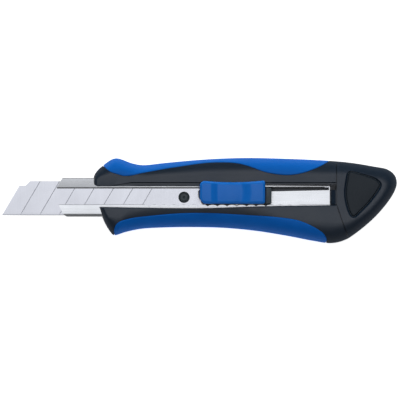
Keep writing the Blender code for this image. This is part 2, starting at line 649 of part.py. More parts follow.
def make_lock_spring():
    foot = ARM_TOP + 0.05
    crown = LEAF_TOP - LEAF_THICKNESS
    inner = TOOTH_X - LEAF_HALF_LENGTH
    line = [(0.0, foot), (2.2, foot), (6.4, crown), (13.6, crown), (17.8, foot), (20.0, foot)]
    under = [(inner + x * LEAF_HALF_LENGTH / 10.0, z) for x, z in line]
    over = [(x, z + LEAF_THICKNESS) for x, z in reversed(under)]
    low = NECK_LOW + 1.1 + RUN
    high = NECK_HIGH - 1.1 - RUN
    leaf = prism_y("lock_spring", under + over, low, high)
    root = LOWER_LIP_EDGE - NOTCH_DEPTH
    tooth = [
        (TOOTH_X - 1.5, low + 1.0), (TOOTH_X - 1.5, LOWER_LIP_EDGE + 0.45),
        (TOOTH_X - 0.8, LOWER_LIP_EDGE - 0.05), (TOOTH_X, root + 0.35),
        (TOOTH_X + 0.8, LOWER_LIP_EDGE - 0.05), (TOOTH_X + 1.5, LOWER_LIP_EDGE + 0.45),
        (TOOTH_X + 1.5, low + 1.0),
    ]
    return join(leaf, prism_z("tooth", tooth, crown + 0.02, LEAF_TOP - 0.02))


def make_button():
    front = BUTTON_FRONT
    rear = BUTTON_REAR
    low = BUTTON_LOW
    crown = BUTTON_TOP
    dip = BUTTON_TOP - SADDLE_DEPTH
    saddle = []
    for share in (0.0, 0.12, 0.3, 0.5, 0.7, 0.88, 1.0):
        bow = math.sin(math.pi * share) ** 0.7
        saddle.append((front + 6.0 + share * (rear - front - 12.0), crown - (crown - dip) * bow))
    side = [(front, BUTTON_BOTTOM), (front, crown - 1.6), (front + 0.7, crown - 0.5), (front + 2.2, crown)]
    side += saddle
    side += [(rear - 1.4, crown), (rear - 0.4, crown - 0.5), (rear, crown - 1.4), (rear, BUTTON_BOTTOM)]
    button = prism_y("slider_button", side, low - 1.0, OVERHANG_Y + 1.0)
    plan = rounded_outline([
        (front, low, 3.2), (rear, low, 1.0), (rear, OVERHANG_Y, 1.0),
        (rear - 6.0, OVERHANG_Y - 0.2, 0), ((front + rear) / 2, OVERHANG_Y - 0.9, 0),
        (front + 6.0, OVERHANG_Y - 0.2, 0), (front, OVERHANG_Y, 1.8),
    ], segments=4)
    keep(button, prism_z("plan", plan, BUTTON_BOTTOM - 1, BUTTON_TOP + 1))
    cut(button, block("overhang_room", (front - 1, rear + 1), (WINDOW_TOP - 2 * FIT, OVERHANG_Y + 2),
                      (BUTTON_BOTTOM - 1, OVERHANG_BOTTOM)))
    join(button, block("plunger", (TOOTH_X - 3.0, TOOTH_X + 3.0),
                       (NECK_LOW + 1.1 + 2 * RUN, NECK_HIGH - 1.1 - 2 * RUN),
                       (LEAF_TOP + RUN, BUTTON_BOTTOM + 0.5)))
    return button


# ---- fasteners -------------------------------------------------------------------------
def make_screw(name, x, y):
    head_top = SCREW_BASE + SCREW_HEAD_HEIGHT
    screw = turned(name, x, y, [
        (SCREW_HEAD_RADIUS - 0.3, SCREW_BASE), (SCREW_HEAD_RADIUS, SCREW_BASE + 0.3),
        (SCREW_HEAD_RADIUS, head_top), (SCREW_SHANK_RADIUS, head_top + 0.01),
        (SCREW_SHANK_RADIUS, SCREW_TIP - 0.6), (SCREW_SHANK_RADIUS - 0.5, SCREW_TIP),
    ])
    depth = (SCREW_BASE - 1.0, SCREW_BASE + 0.8)
    for reach_x, reach_y in ((1.2, 0.25), (0.25, 1.2)):
        cut(screw, block("slot", (x - reach_x, x + reach_x), (y - reach_y, y + reach_y), depth))
    return screw


def make_rivet(name, x, y):
    return turned(name, x, y, [
        (RIVET_SHANK_RADIUS, RIVET_FOOT), (RIVET_SHANK_RADIUS, FLOOR_BOTTOM),
        (RIVET_HEAD_RADIUS, FLOOR_TOP),
    ])


# ---- finish ----------------------------------------------------------------------------
def paint(piece, colour):
    base, metallic, roughness = COLOURS[colour]
    material = bpy.data.materials.new(piece.name + "_" + colour)
    material.use_nodes = True
    shader = material.node_tree.nodes["Principled BSDF"]
    shader.inputs["Base Color"].default_value = (*base, 1.0)
    shader.inputs["Metallic"].default_value = metallic
    shader.inputs["Roughness"].default_value = roughness
    piece.data.materials.clear()
    piece.data.materials.append(material)


def finish(piece, colour, origin, parent=None):
    """Tidy the mesh, shade it, give it its origin, its parent and its material."""
    shift = Vector(origin) * MM
    build = bmesh.new()
    build.from_mesh(piece.data)
    bmesh.ops.remove_doubles(build, verts=build.verts[:], dist=1e-6)
    bmesh.ops.triangulate(build, faces=build.faces[:])
    bmesh.ops.translate(build, verts=build.verts[:], vec=-shift)
    build.to_mesh(piece.data)
    build.free()
    piece.location = shift
    if parent is not None:
        piece.parent = parent
        piece.location = shift - parent.matrix_world.translation
    for face in piece.data.polygons:
        face.use_smooth = True
    piece.data.set_sharp_from_angle(angle=math.radians(32))
    paint(piece, colour)
    bpy.context.view_layer.update()
    return piece


def build_knife():
    for existing in list(bpy.data.objects):
        bpy.data.objects.remove(existing)
    back = finish(make_back_shell(), "black_plastic", (0, 0, 0))
    front = finish(make_front_shell(), "black_plastic", (0, 0, MID), back)
    for name, border, outside, side, parent in (
        ("upper_grip_front", UPPER_GRIP_BORDER, UPPER_OUTSIDE, 1, front),
        ("upper_grip_back", UPPER_GRIP_BORDER, UPPER_OUTSIDE, -1, back),
        ("lower_grip_front", LOWER_GRIP_BORDER, LOWER_OUTSIDE, 1, front),
        ("lower_grip_back", LOWER_GRIP_BORDER, LOWER_OUTSIDE, -1, back),
    ):
        finish(make_grip(name, border, outside, side), "grip_blue", (0, 0, MID), parent)
    finish(make_channel(), "channel_steel", (CHANNEL_REAR, 0, FLOOR_BOTTOM), back)
    for index, (x, y) in enumerate(RIVETS):
        name = "channel_rivet_" + str(index + 1)
        finish(make_rivet(name, x, y), "spring_steel", (x, y, FLOOR_BOTTOM), back)
    for index, (x, y) in enumerate(SCREWS):
        name = "shell_screw_" + str(index + 1)
        place = (along(x), across(y))
        finish(make_screw(name, place[0], place[1]), "screw_steel", (place[0], place[1], 0), back)
    carrier = finish(make_carrier(), "black_plastic", (STUD_X, STUD_Y, ARM_BOTTOM), back)
    finish(make_blade(), "blade_steel", (STUD_X, STUD_Y, BLADE_BOTTOM), carrier)
    finish(make_lock_spring(), "spring_steel", (TOOTH_X, STUD_Y, ARM_TOP), carrier)
    finish(make_button(), "slider_blue", (TOOTH_X, STUD_Y, BUTTON_BOTTOM), carrier)
    cap = finish(make_end_cap(), "black_plastic", (SEAM_X, 0, MID), back)
    finish(make_badge("cap_badge_front", 1), "badge_plastic", (along(84.0), across(5.0), FACE), cap)
    finish(make_badge("cap_badge_back", -1), "badge_plastic", (along(84.0), across(5.0), 0), cap)


build_knife()
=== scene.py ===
"""Visual model of the snap-off utility knife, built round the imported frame.

Sizes are millimetres in the frame's axes: +X towards the end cap, +Y towards the spine, +Z out
of the side with the button.  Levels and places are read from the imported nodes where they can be.
"""
import math

import bmesh
import bpy
import numpy as np
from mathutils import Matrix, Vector


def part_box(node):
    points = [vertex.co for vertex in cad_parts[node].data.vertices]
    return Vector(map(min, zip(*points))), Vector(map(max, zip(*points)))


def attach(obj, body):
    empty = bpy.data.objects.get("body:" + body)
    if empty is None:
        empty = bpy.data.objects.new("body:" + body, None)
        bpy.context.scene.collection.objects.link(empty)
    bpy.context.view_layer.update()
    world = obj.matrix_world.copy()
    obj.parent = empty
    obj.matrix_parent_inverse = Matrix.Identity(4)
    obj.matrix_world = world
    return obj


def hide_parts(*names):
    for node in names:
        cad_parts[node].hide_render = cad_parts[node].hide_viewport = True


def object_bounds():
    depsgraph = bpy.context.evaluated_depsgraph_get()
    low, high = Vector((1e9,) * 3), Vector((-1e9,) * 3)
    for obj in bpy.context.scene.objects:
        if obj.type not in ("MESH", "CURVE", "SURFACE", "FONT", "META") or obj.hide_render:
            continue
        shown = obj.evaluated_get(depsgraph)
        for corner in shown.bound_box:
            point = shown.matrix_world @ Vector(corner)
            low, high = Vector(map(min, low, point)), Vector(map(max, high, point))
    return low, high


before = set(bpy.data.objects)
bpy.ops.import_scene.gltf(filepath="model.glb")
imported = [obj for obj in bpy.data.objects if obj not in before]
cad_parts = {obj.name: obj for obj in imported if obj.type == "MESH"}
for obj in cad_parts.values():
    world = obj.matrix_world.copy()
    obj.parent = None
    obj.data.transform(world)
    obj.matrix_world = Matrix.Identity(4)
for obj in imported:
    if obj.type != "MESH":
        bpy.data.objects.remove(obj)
cad_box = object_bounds()

MM = 0.001


def low(node, axis):
    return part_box(node)[0][axis] / MM


def high(node, axis):
    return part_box(node)[1][axis] / MM


def ends(node, axis):
    return low(node, axis), high(node, axis)


X, Y, Z = 0, 1, 2

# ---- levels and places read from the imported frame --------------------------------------
FACE = high("front_shell", Z)
FIT = low("front_shell", Z) - high("back_shell", Z)
MID = low("front_shell", Z) - FIT / 2
DRAWN_LENGTH, DRAWN_WIDTH = 160.4, 45.1     # of the handle that the outlines below draw
LENGTH_RATIO = (high("end_cap", X) - low("front_shell", X)) / DRAWN_LENGTH
WIDTH_RATIO = (high("upper_grip_front", Y) - low("front_shell", Y)) / DRAWN_WIDTH
CHANNEL_FRONT, CHANNEL_REAR = ends("blade_channel", X)
CHANNEL_LOW, CHANNEL_HIGH = ends("blade_channel", Y)
FLOOR_BOTTOM, LIP_TOP = ends("blade_channel", Z)
STEEL = 0.8
FLOOR_TOP = FLOOR_BOTTOM + STEEL
LIP_BOTTOM = LIP_TOP - STEEL
ROOF = LIP_TOP + FIT
TIP_X, TANG_X = ends("blade", X)
BLADE_EDGE_Y, BLADE_BACK_Y = ends("blade", Y)
BLADE_BOTTOM, BLADE_TOP = ends("blade", Z)
CARRIER_FRONT = -0.7
CARRIER_REAR = high("blade_carrier", X)
ARM_BOTTOM = low("blade_carrier", Z)
ARM_TOP = ARM_BOTTOM + 0.85
BUTTON_FRONT, BUTTON_REAR = ends("slider_button", X)
BUTTON_LOW, BUTTON_HIGH = ends("slider_button", Y)
PLUNGER_BOTTOM, BUTTON_TOP = ends("slider_button", Z)

SLOT_MIDDLE = (BLADE_EDGE_Y + BLADE_BACK_Y) / 2 + 1.1
SLOT_HALF = 4.45
UPPER_LIP_EDGE = SLOT_MIDDLE + SLOT_HALF
LOWER_LIP_EDGE = SLOT_MIDDLE - SLOT_HALF
WINDOW_TOP = UPPER_LIP_EDGE + 1.0
STEP_TOP = WINDOW_TOP + 1.8
STEP_FLOOR = FACE - 0.8
FLANGE_LOW = LOWER_LIP_EDGE + 0.1
FLANGE_TOP = ROOF + 1.4
BUTTON_BOTTOM = FLANGE_TOP + 1.45
OVERHANG_BOTTOM = FACE + 1.45
STUD = (TANG_X - 11.0, SLOT_MIDDLE - 0.6)
STUD_RADIUS = 2.8
TOOTH_X = 19.7
NOTCH_PITCH = 5.12
NOTCH_DEPTH = 1.0
SEGMENT = 10.24
LEAN = 1.0 / math.tan(math.radians(59.5))
CAP_WALL = 2.4
GRIP_DEPTH = 1.8
SPIGOT_LENGTH = 7.0
BADGE_DEPTH = 1.0
BADGE_GROOVE = 1.1
LIP_ROLL = 0.45
NOSE = 0.4
SEAM_GROOVE = 0.55
SEAM_DEPTH = 1.6
SHELL_SHIFT = 0.2              # from the seam's line back to the end of the shells
CAP_SHIFT = 0.8 * FIT          # from the seam's line back to the front of the cap
BEYOND = 112.0                 # somewhere past the rear of the handle
WINDOW_REAR = 74.2
WINDOW_ROLL = 0.55             # rounding of the window's edge
REAR_WIDENING = 0.75           # of the window's upper side, behind the lock
FASTENER_HOLE = 1.4
RIVETS = ("channel_rivet_1", "channel_rivet_2")
JAW_FACE_EDGE = -8.6           # lowest line of the flat face on the lower jaw
REAR_LIP = (24.0, 7.3)         # where the upper lip narrows behind the lock, and its edge there

# ---- fineness of the free curves -------------------------------------------------------
CURVE_STEP = 1.5
ROUND_POWER = {-1: 2.0 / 2.3, 1: 2.0 / 2.05}
ROUND_ANGLES = [9.0 * step for step in range(11)]

STATIONS = [
    (-55.9, 7.8, -54.6, 7.8), (-55.9, 12.8, -54.5, 12.0), (-54.4, 15.5, -52.6, 13.6),
    (-50.2, 19.3, -48.2, 15.4), (-46.2, 21.9, -45.6, 16.6), (-43.8, 22.36, -43.6, 16.9),
    (-41.2, 21.8, -41.0, 16.6), (-36.2, 19.9, -36.0, 15.2), (-30.4, 18.8, -30.3, 14.4),
    (-18.5, 19.9, -18.5, 15.2), (-2.0, 21.4, -2.0, 16.4), (12.0, 22.25, 12.0, 16.9),
    (25.9, 22.57, 25.9, 17.0), (45.0, 22.15, 45.0, 16.4), (62.0, 21.45, 62.0, 15.4),
    (78.7, 20.2, 77.5, 13.2), (92.0, 18.1, 89.0, 11.2), (99.8, 16.4, 94.5, 10.2),
    (103.4, 13.4, 97.0, 9.0), (104.5, 9.5, 97.6, 7.3), (103.6, 5.6, 96.6, 4.6),
    (99.8, -0.7, 93.4, 0.0), (92.4, -9.2, 87.0, -6.2), (82.9, -17.2, 79.0, -10.6),
    (77.2, -20.8, 73.5, -11.6), (70.0, -22.55, 68.0, -11.4), (60.0, -21.3, 59.0, -10.9),
    (47.0, -18.8, 47.0, -9.4), (30.1, -16.1, 30.1, -8.0), (13.2, -14.5, 13.2, -7.2),
    (-3.7, -14.07, -3.7, -7.0), (-18.0, -14.25, -18.0, -7.6), (-31.0, -15.0, -31.0, -9.0),
    (-39.6, -16.8, -38.6, -11.0), (-43.8, -18.2, -42.6, -13.4), (-45.6, -18.3, -44.5, -15.0),
    (-47.2, -16.6, -46.0, -14.5), (-50.2, -11.7, -48.9, -10.6), (-53.2, -3.5, -51.8, -3.5),
]
UPPER_GRIP_BORDER = [
    (-53.2, 20.2), (-50.7, 18.0), (-47.0, 15.1), (-43.8, 14.0), (-40.0, 13.0), (-36.2, 13.1),
    (-31.2, 14.3), (-18.5, 16.7), (-5.8, 18.7), (3.0, 19.9), (13.2, 20.2), (19.5, 19.8),
    (25.9, 18.2), (35.4, 14.8), (46.2, 13.4), (54.4, 14.5), (63.9, 18.2), (68.4, 20.9),
    (71.0, 22.6),
]
LOWER_GRIP_BORDER = [
    (-45.0, -21.0), (-45.2, -17.2), (-44.9, -14.2), (-43.0, -11.6), (-37.5, -9.6),
    (-24.8, -7.9), (-10.0, -6.7), (6.0, -6.6), (22.7, -7.5), (41.7, -8.8), (52.0, -10.4),
    (60.7, -14.1), (66.2, -18.2), (67.3, -21.0), (66.6, -24.0),
]
UPPER_OUTSIDE = [(71.0, 30.0), (-58.0, 30.0)]
LOWER_OUTSIDE = [(66.0, -30.0), (-45.0, -30.0)]
WINDOW_LOWER_EDGE = [
    (-58.0, 1.1), (-40.0, 1.5), (-12.0, 1.9), (5.0, 1.85), (20.0, 1.35), (35.0, 0.9),
    (58.0, 0.5), (74.2, 0.3),
]
SEAM = [(72.2, 26.0), (72.2, -2.0), (75.7, -12.1), (79.4, -22.0), (80.0, -26.0)]
BADGE = [
    (79.6, 15.2), (87.5, 13.2), (93.0, 11.0), (95.3, 8.4), (93.8, 5.2), (89.3, -0.8),
    (85.2, -5.0), (81.6, -8.2), (80.2, -7.4), (77.9, -1.0), (77.3, 5.0), (78.2, 11.5),
    (78.8, 14.6),
]
SCREWS = {"shell_screw_1": (-50.4, 13.6), "shell_screw_2": (13.5, 15.7),
          "shell_screw_3": (62.0, -12.4), "shell_screw_4": (-46.0, -11.0)}


def along(x):
    return x * LENGTH_RATIO


def across(y):
    return y * WIDTH_RATIO


def in_place(points):
    return [(along(x), across(y)) for x, y in points]


def at_level(outline, z):
    return [(p[0], p[1], z) for p in outline]


def quarter(steps):
    """Angles from nothing to a right angle."""
    return [math.pi / 2 * step / steps for step in range(steps + 1)]


def eased(share):
    share = min(max(share, 0.0), 1.0)
    return share * share * (3 - 2 * share)


def fade(value, start, end):
    return eased((value - start) / (end - start))


def middle_of(node):
    return [(low(node, axis) + high(node, axis)) / 2 for axis in (X, Y)]


# ---- curves ----------------------------------------------------------------------------
def smooth_curve(points, closed, step=CURVE_STEP):
    """Points along a smooth curve through the given points."""
    given = [np.array(point, float) for point in points]
    count = len(given)
    result = []
    for index in range(count if closed else count - 1):
        here = given[index]
        after = given[(index + 1) % count]
        before = given[index - 1] if (closed or index > 0) else 2 * here - after
        beyond = given[(index + 2) % count] if (closed or index + 2 < count) else 2 * after - here
        gap_a = math.sqrt(np.linalg.norm((here - before)[:2]))
        gap_b = math.sqrt(np.linalg.norm((after - here)[:2]))
        gap_c = math.sqrt(np.linalg.norm((beyond - after)[:2]))
        leave = (here - before) / gap_a - (after - before) / (gap_a + gap_b) + (after - here) / gap_b
        arrive = (after - here) / gap_b - (beyond - here) / (gap_b + gap_c) + (beyond - after) / gap_c
        pieces = max(1, round(gap_b * gap_b / step))
        for piece in range(pieces):
            t = piece / pieces
            result.append(
                here * (2 * t ** 3 - 3 * t ** 2 + 1)
                + leave * gap_b * (t ** 3 - 2 * t ** 2 + t)
                + after * (3 * t ** 2 - 2 * t ** 3)
                + arrive * gap_b * (t ** 3 - t ** 2)
            )
    if not closed:
        result.append(given[-1])
    return result


def rounded_outline(corners, segments=6):
    """A closed outline with each corner (a, b, radius) turned into an arc."""
    outline = []
    count = len(corners)
    for index in range(count):
        corner = np.array(corners[index][:2], float)
        radius = corners[index][2]
        if radius <= 0:
            outline.append(tuple(corner))
            continue
        back = np.array(corners[index - 1][:2], float) - corner
        ahead = np.array(corners[(index + 1) % count][:2], float) - corner
        back /= np.linalg.norm(back)
        ahead /= np.linalg.norm(ahead)
        half = math.acos(max(-1.0, min(1.0, float(back @ ahead)))) / 2
        reach = radius / math.tan(half)
        middle = (back + ahead) / np.linalg.norm(back + ahead)
        centre = corner + middle * radius / math.sin(half)
        start = corner + back * reach - centre
        end = corner + ahead * reach - centre
        for step in range(segments + 1):
            t = step / segments
            blend = start * (1 - t) + end * t
            outline.append(tuple(centre + blend / np.linalg.norm(blend) * radius))
    return outline


def moved_sideways(points, distance):
    """An open curve moved to its right-hand side by a distance."""
    moved = []
    for index, point in enumerate(points):
        before = np.array(points[max(index - 1, 0)][:2])
        after = np.array(points[min(index + 1, len(points) - 1)][:2])
        way = (after - before) / np.linalg.norm(after - before)
        moved.append((point[0] + way[1] * distance, point[1] - way[0] * distance))
    return moved


def inside_out(outline, distance):
    """A closed outline grown (or shrunk, below zero) by a distance."""
    area = sum(a[0] * b[1] - b[0] * a[1] for a, b in zip(outline, list(outline[1:]) + [outline[0]]))
    wrapped = [outline[-1]] + list(outline) + [outline[0]]
    return moved_sideways(wrapped, distance if area > 0 else -distance)[1:-1]


# ---- solids ----------------------------------------------------------------------------
def mesh_object(name, build):
    bmesh.ops.recalc_face_normals(build, faces=build.faces[:])
    mesh = bpy.data.meshes.new(name)
    build.to_mesh(mesh)
    build.free()
    piece = bpy.data.objects.new(name, mesh)
    bpy.context.scene.collection.objects.link(piece)
    return piece


def solid_from_rings(name, rings):
    """A closed solid through a stack of rings with the same number of points."""
    build = bmesh.new()
    loops = []
    for ring in rings:
        loops.append([build.verts.new(Vector(point) * MM) for point in ring])
    count = len(loops[0])
    for under, over in zip(loops, loops[1:]):
        for index in range(count):
            after = (index + 1) % count
            build.faces.new((under[index], under[after], over[after], over[index]))
    caps = [build.faces.new(loops[0][::-1]), build.faces.new(loops[-1])]
    bmesh.ops.triangulate(build, faces=caps)
    return mesh_object(name, build)


def prism_z(name, outline, bottom, top):
    return solid_from_rings(name, [at_level(outline, z) for z in (bottom, top)])


def prism_x(name, profile, start, end):
    return solid_from_rings(name, [[(x, p[0], p[1]) for p in profile] for x in (start, end)])


def prism_y(name, profile, start, end):
    return solid_from_rings(name, [[(p[0], y, p[1]) for p in profile] for y in (start, end)])


def block(name, x, y, z):
    outline = [(x[0], y[0]), (x[1], y[0]), (x[1], y[1]), (x[0], y[1])]
    return prism_z(name, outline, z[0], z[1])


def pillow(name, outline, bottom, top, radius, both=False, steps=5):
    """An upright prism whose top edge, and bottom edge if asked, is rounded."""
    levels = [(0.0, bottom)]
    if both:
        levels = [(radius * (1 - math.sin(turn)), bottom + radius * (1 - math.cos(turn)))
                  for turn in quarter(steps)]
    levels += [(radius * (1 - math.cos(turn)), top - radius * (1 - math.sin(turn)))
               for turn in quarter(steps)]
    return solid_from_rings(name, [at_level(inside_out(outline, -shrink), level)
                                   for shrink, level in levels])


def turned(name, x, y, profile, sides=48):
    """A round solid about an upright axis, from (radius, z) pairs, bottom to top."""
    rings = []
    for radius, z in profile:
        ring = []
        for side in range(sides):
            angle = 2 * math.pi * side / sides
            ring.append((x + radius * math.cos(angle), y + radius * math.sin(angle), z))
        rings.append(ring)
    return solid_from_rings(name, rings)


def sheet_solid(name, build, top, under):
    """A closed solid between two grids of vertices, joined round their edges."""
    last_row, last_column = len(top) - 1, len(top[0]) - 1
    for i in range(last_row):
        for j in range(last_column):
            build.faces.new((top[i][j], top[i + 1][j], top[i + 1][j + 1], top[i][j + 1]))
            build.faces.new((under[i][j], under[i][j + 1], under[i + 1][j + 1], under[i + 1][j]))
        for j in (0, last_column):
            build.faces.new((top[i][j], under[i][j], under[i + 1][j], top[i + 1][j]))
    for j in range(last_column):
        for i in (0, last_row):
            build.faces.new((top[i][j], top[i][j + 1], under[i][j + 1], under[i][j]))
    return mesh_object(name, build)


def combine(target, tool, operation):
    """Join, cut or intersect the target with a tool that is used up."""
    modifier = target.modifiers.new("combine", 'BOOLEAN')
    modifier.operation = operation
    modifier.solver = 'MANIFOLD'
    modifier.object = tool
    graph = bpy.context.evaluated_depsgraph_get()
    result = bpy.data.meshes.new_from_object(target.evaluated_get(graph))
    target.modifiers.clear()
    previous = target.data
    target.data = result
    bpy.data.meshes.remove(previous)
    used = tool.data
    bpy.data.objects.remove(tool)
    bpy.data.meshes.remove(used)
    return target


def cut(target, tool):
    return combine(target, tool, 'DIFFERENCE')


def keep(target, tool):
    return combine(target, tool, 'INTERSECT')


def join(target, tool):
    return combine(target, tool, 'UNION')


# ---- handle surface --------------------------------------------------------------------
def placed_stations():
    """Widest point, back face edge and front face edge of every station, in place.

    The front face's edge lies further in than the back's, so the front bevels are wider.
    """
    placed = []
    for a, b, c, d in STATIONS:
        if b > 0:
            reach = 1.0 + 0.45 * (1 - fade(a, 60.0, 78.0))
        else:
            reach = 1.0 + 0.90 * (1 - fade(a, 14.0, 50.0))
        face_y = b + (d - b) * reach
        if a < -41.0 and b < 0:
            face_y = max(face_y, JAW_FACE_EDGE)
        placed.append((along(a), across(b), along(c), across(d),
                       along(a + (c - a) * reach), across(face_y)))
    return placed


HANDLE_CURVE = smooth_curve(placed_stations(), closed=True)


def handle_ring(angle, inset):
    """One level ring of the handle's rounded side, from its widest line (0) to a face (90)."""
    turn = math.radians(abs(angle))
    power = ROUND_POWER[1 if angle > 0 else -1]
    out_share = max(math.cos(turn), 0.0) ** power if abs(angle) < 90 else 0.0
    rise_share = math.sin(turn) ** power
    height = MID + math.copysign((MID - inset) * rise_share, angle)
    if abs(angle) > 90:
        height = MID + math.copysign(MID - inset, angle)
    ring = []
    for station in HANDLE_CURVE:
        wide = station[:2]
        flat = station[4:] if angle > 0 else station[2:4]
        depth = float(np.linalg.norm(flat - wide))
        start = wide + (flat - wide) * min(inset / depth, 0.8)
        point = flat + (start - flat) * out_share
        if abs(angle) > 90:
            point = flat + (flat - wide) / depth * 0.35
        ring.append((point[0], point[1], height))
    return ring


def handle_solid(name, inset=0.0, side=0, start=0.0):
    """The handle's body, or one half of it (side +1 front, -1 back) from a start level."""
    angles = ROUND_ANGLES + [99.0]
    if side == 0:
        every = [-a for a in angles[:0:-1]] + angles
        return solid_from_rings(name, [handle_ring(angle, inset) for angle in every])
    rings = [[(p[0], p[1], MID + start * side) for p in handle_ring(0.0, inset)]]
    for angle in angles[1:]:
        rings.append(handle_ring(angle * side, inset))
    return solid_from_rings(name, rings)


def grip_region(border, outside, growth, step=CURVE_STEP):
    curve = smooth_curve(in_place(border), closed=False, step=step)
    return moved_sideways(curve, growth) + in_place(outside)


def grip_pocket(border, outside, side, growth_sign):
    region = grip_region(border, outside, 0.06 * growth_sign)
    bottom, top = (MID - 1.0, FACE + 1.0) if side > 0 else (-1.0, MID + 1.0)
    pocket = prism_z("pocket", region, bottom, top)
    return cut(pocket, handle_solid("core", GRIP_DEPTH + FIT, side, -2.0))


def seam_line():
    return [(x + FIT * 0.4, y) for x, y in in_place(SEAM)]


def seam_region(shift, far):
    line = [(x + shift, y) for x, y in in_place(SEAM)]
    return line + in_place([(far, -26.0), (far, 26.0)])


def window_outline():
    top = WINDOW_TOP - 0.2
    lower = [(along(x), LOWER_LIP_EDGE - y) for x, y in WINDOW_LOWER_EDGE]
    curve = [(p[0], p[1]) for p in smooth_curve(lower, closed=False, step=6.0)]
    return curve + [(along(WINDOW_REAR), top), (along(-58.0), top)]


# ---- materials -------------------------------------------------------------------------
class Nodes:
    """A short way to write a material's nodes."""

    def __init__(self, name):
        self.material = bpy.data.materials.new(name)
        self.material.use_nodes = True
        self.tree = self.material.node_tree
        self.shader = self.tree.nodes["Principled BSDF"]
        self.place = self.new("ShaderNodeTexCoord").outputs["Object"]

    def new(self, kind, **settings):
        node = self.tree.nodes.new(kind)
        for key, value in settings.items():
            setattr(node, key, value)
        return node

    def link(self, source, target):
        self.tree.links.new(source, target)

    def feed(self, socket, value):
        """Give a socket a number, a colour or another node's output."""
        if isinstance(value, float):
            socket.default_value = value
        elif isinstance(value, tuple):
            socket.default_value = (*value, 1.0)
        else:
            self.link(value, socket)

    def scaled(self, x, y, z):
        """Object coordinates stretched, in cycles per metre."""
        node = self.new("ShaderNodeMapping")
        node.inputs["Scale"].default_value = (x, y, z)
        self.link(self.place, node.inputs["Vector"])
        return node.outputs["Vector"]

    def noise(self, scale, detail=2.0, rough=0.5, vector=None, distortion=0.0):
        node = self.new("ShaderNodeTexNoise")
        for key, value in (("Scale", scale), ("Detail", detail), ("Roughness", rough),
                           ("Distortion", distortion)):
            node.inputs[key].default_value = value
        self.link(vector or self.place, node.inputs["Vector"])
        return node.outputs["Fac"]

    def spread(self, source, *limits):
        """A value mapped from the first two limits to the last two."""
        node = self.new("ShaderNodeMapRange")
        for key, value in zip(("From Min", "From Max", "To Min", "To Max"), limits):
            node.inputs[key].default_value = value
        self.link(source, node.inputs["Value"])
        return node.outputs["Result"]

    def ramp(self, source, stops):
        node = self.new("ShaderNodeValToRGB")
        ramp = node.color_ramp
        while len(ramp.elements) < len(stops):
            ramp.elements.new(0.5)
        for element, (place, colour) in zip(ramp.elements, stops):
            element.position = place
            element.color = (*colour, 1.0)
        self.link(source, node.inputs["Fac"])
        return node.outputs["Color"]

    def mix(self, share, first, second):
        node = self.new("ShaderNodeMix", data_type='RGBA')
        for index, value in ((0, share), (6, first), (7, second)):
            self.feed(node.inputs[index], value)
        return node.outputs[2]

    def add(self, first, second, operation='ADD'):
        node = self.new("ShaderNodeMath", operation=operation)
        self.feed(node.inputs[0], first)
        self.feed(node.inputs[1], second)
        return node.outputs[0]

    def bump(self, height, distance, strength=1.0, normal=None):
        node = self.new("ShaderNodeBump")
        node.inputs["Strength"].default_value = strength
        node.inputs["Distance"].default_value = distance
        self.link(height, node.inputs["Height"])
        if normal is not None:
            self.link(normal, node.inputs["Normal"])
        return node.outputs["Normal"]

    def finish(self, colour=None, rough=None, normal=None, **constants):
        for key, source in (("Base Color", colour), ("Roughness", rough), ("Normal", normal)):
            if source is not None:
                self.link(source, self.shader.inputs[key])
        for key, value in constants.items():
            self.shader.inputs[key.replace("_", " ")].default_value = value
        return self.material


def moulded_plastic(name, dark, light, rough_low, rough_high, grain, depth, specular=0.5):
    """Moulded plastic with a spark-eroded grain, faint flow marks and a painted edge highlight: convex
    edges paler, in patches.
    """
    n = Nodes(name)
    cloud = n.noise(45.0, 3.0, 0.6)
    fine = n.noise(grain, 2.0, 0.6)
    coarse = n.noise(grain * 0.35, 1.0, 0.5)
    colour = n.ramp(cloud, [(0.30, dark), (0.72, light)])
    # Painted edge highlight: sharp convex edges, found by pointiness, are mixed toward a paler colour
    # in noise-broken patches.
    edge = n.new("ShaderNodeNewGeometry").outputs["Pointiness"]
    edge_highlight = n.spread(edge, 0.52, 0.60, 0.0, 0.35)
    highlight_patches = n.spread(n.noise(900.0, 4.0, 0.7), 0.45, 0.70, 0.0, 1.0)
    painted_highlight_share = n.add(edge_highlight, highlight_patches, 'MULTIPLY')
    pale = tuple(min(1.0, c * 2.2 + 0.02) for c in light)
    colour = n.mix(painted_highlight_share, colour, pale)
    rough = n.spread(n.add(n.add(fine, 0.6, 'MULTIPLY'), n.add(cloud, 0.4, 'MULTIPLY')),
                     0.3, 0.7, rough_low, rough_high)
    relief = n.add(fine, n.add(coarse, 0.6, 'MULTIPLY'))
    return n.finish(colour, rough, n.bump(relief, depth, 0.8), Specular_IOR_Level=specular)


def soft_grip(name):
    """Blue thermoplastic rubber: soft, faintly mottled, with a very fine grain."""
    n = Nodes(name)
    cloud = n.noise(60.0, 3.0, 0.55)
    grain = n.noise(3800.0, 2.0, 0.65)
    pores = n.noise(1500.0, 1.0, 0.5)
    colour = n.ramp(cloud, [(0.3, (0.0002, 0.140, 0.585)), (0.7, (0.0005, 0.157, 0.640))])
    dust = n.spread(n.noise(420.0, 5.0, 0.75), 0.60, 0.80, 0.0, 0.06)
    colour = n.mix(dust, colour, (0.05, 0.20, 0.46))
    rough = n.spread(grain, 0.3, 0.7, 0.40, 0.52)
    relief = n.add(grain, n.add(pores, 0.5, 'MULTIPLY'))
    return n.finish(colour, rough, n.bump(relief, 0.00003, 0.6), Sheen_Weight=0.01,
                    Sheen_Roughness=0.4, Specular_IOR_Level=0.20)


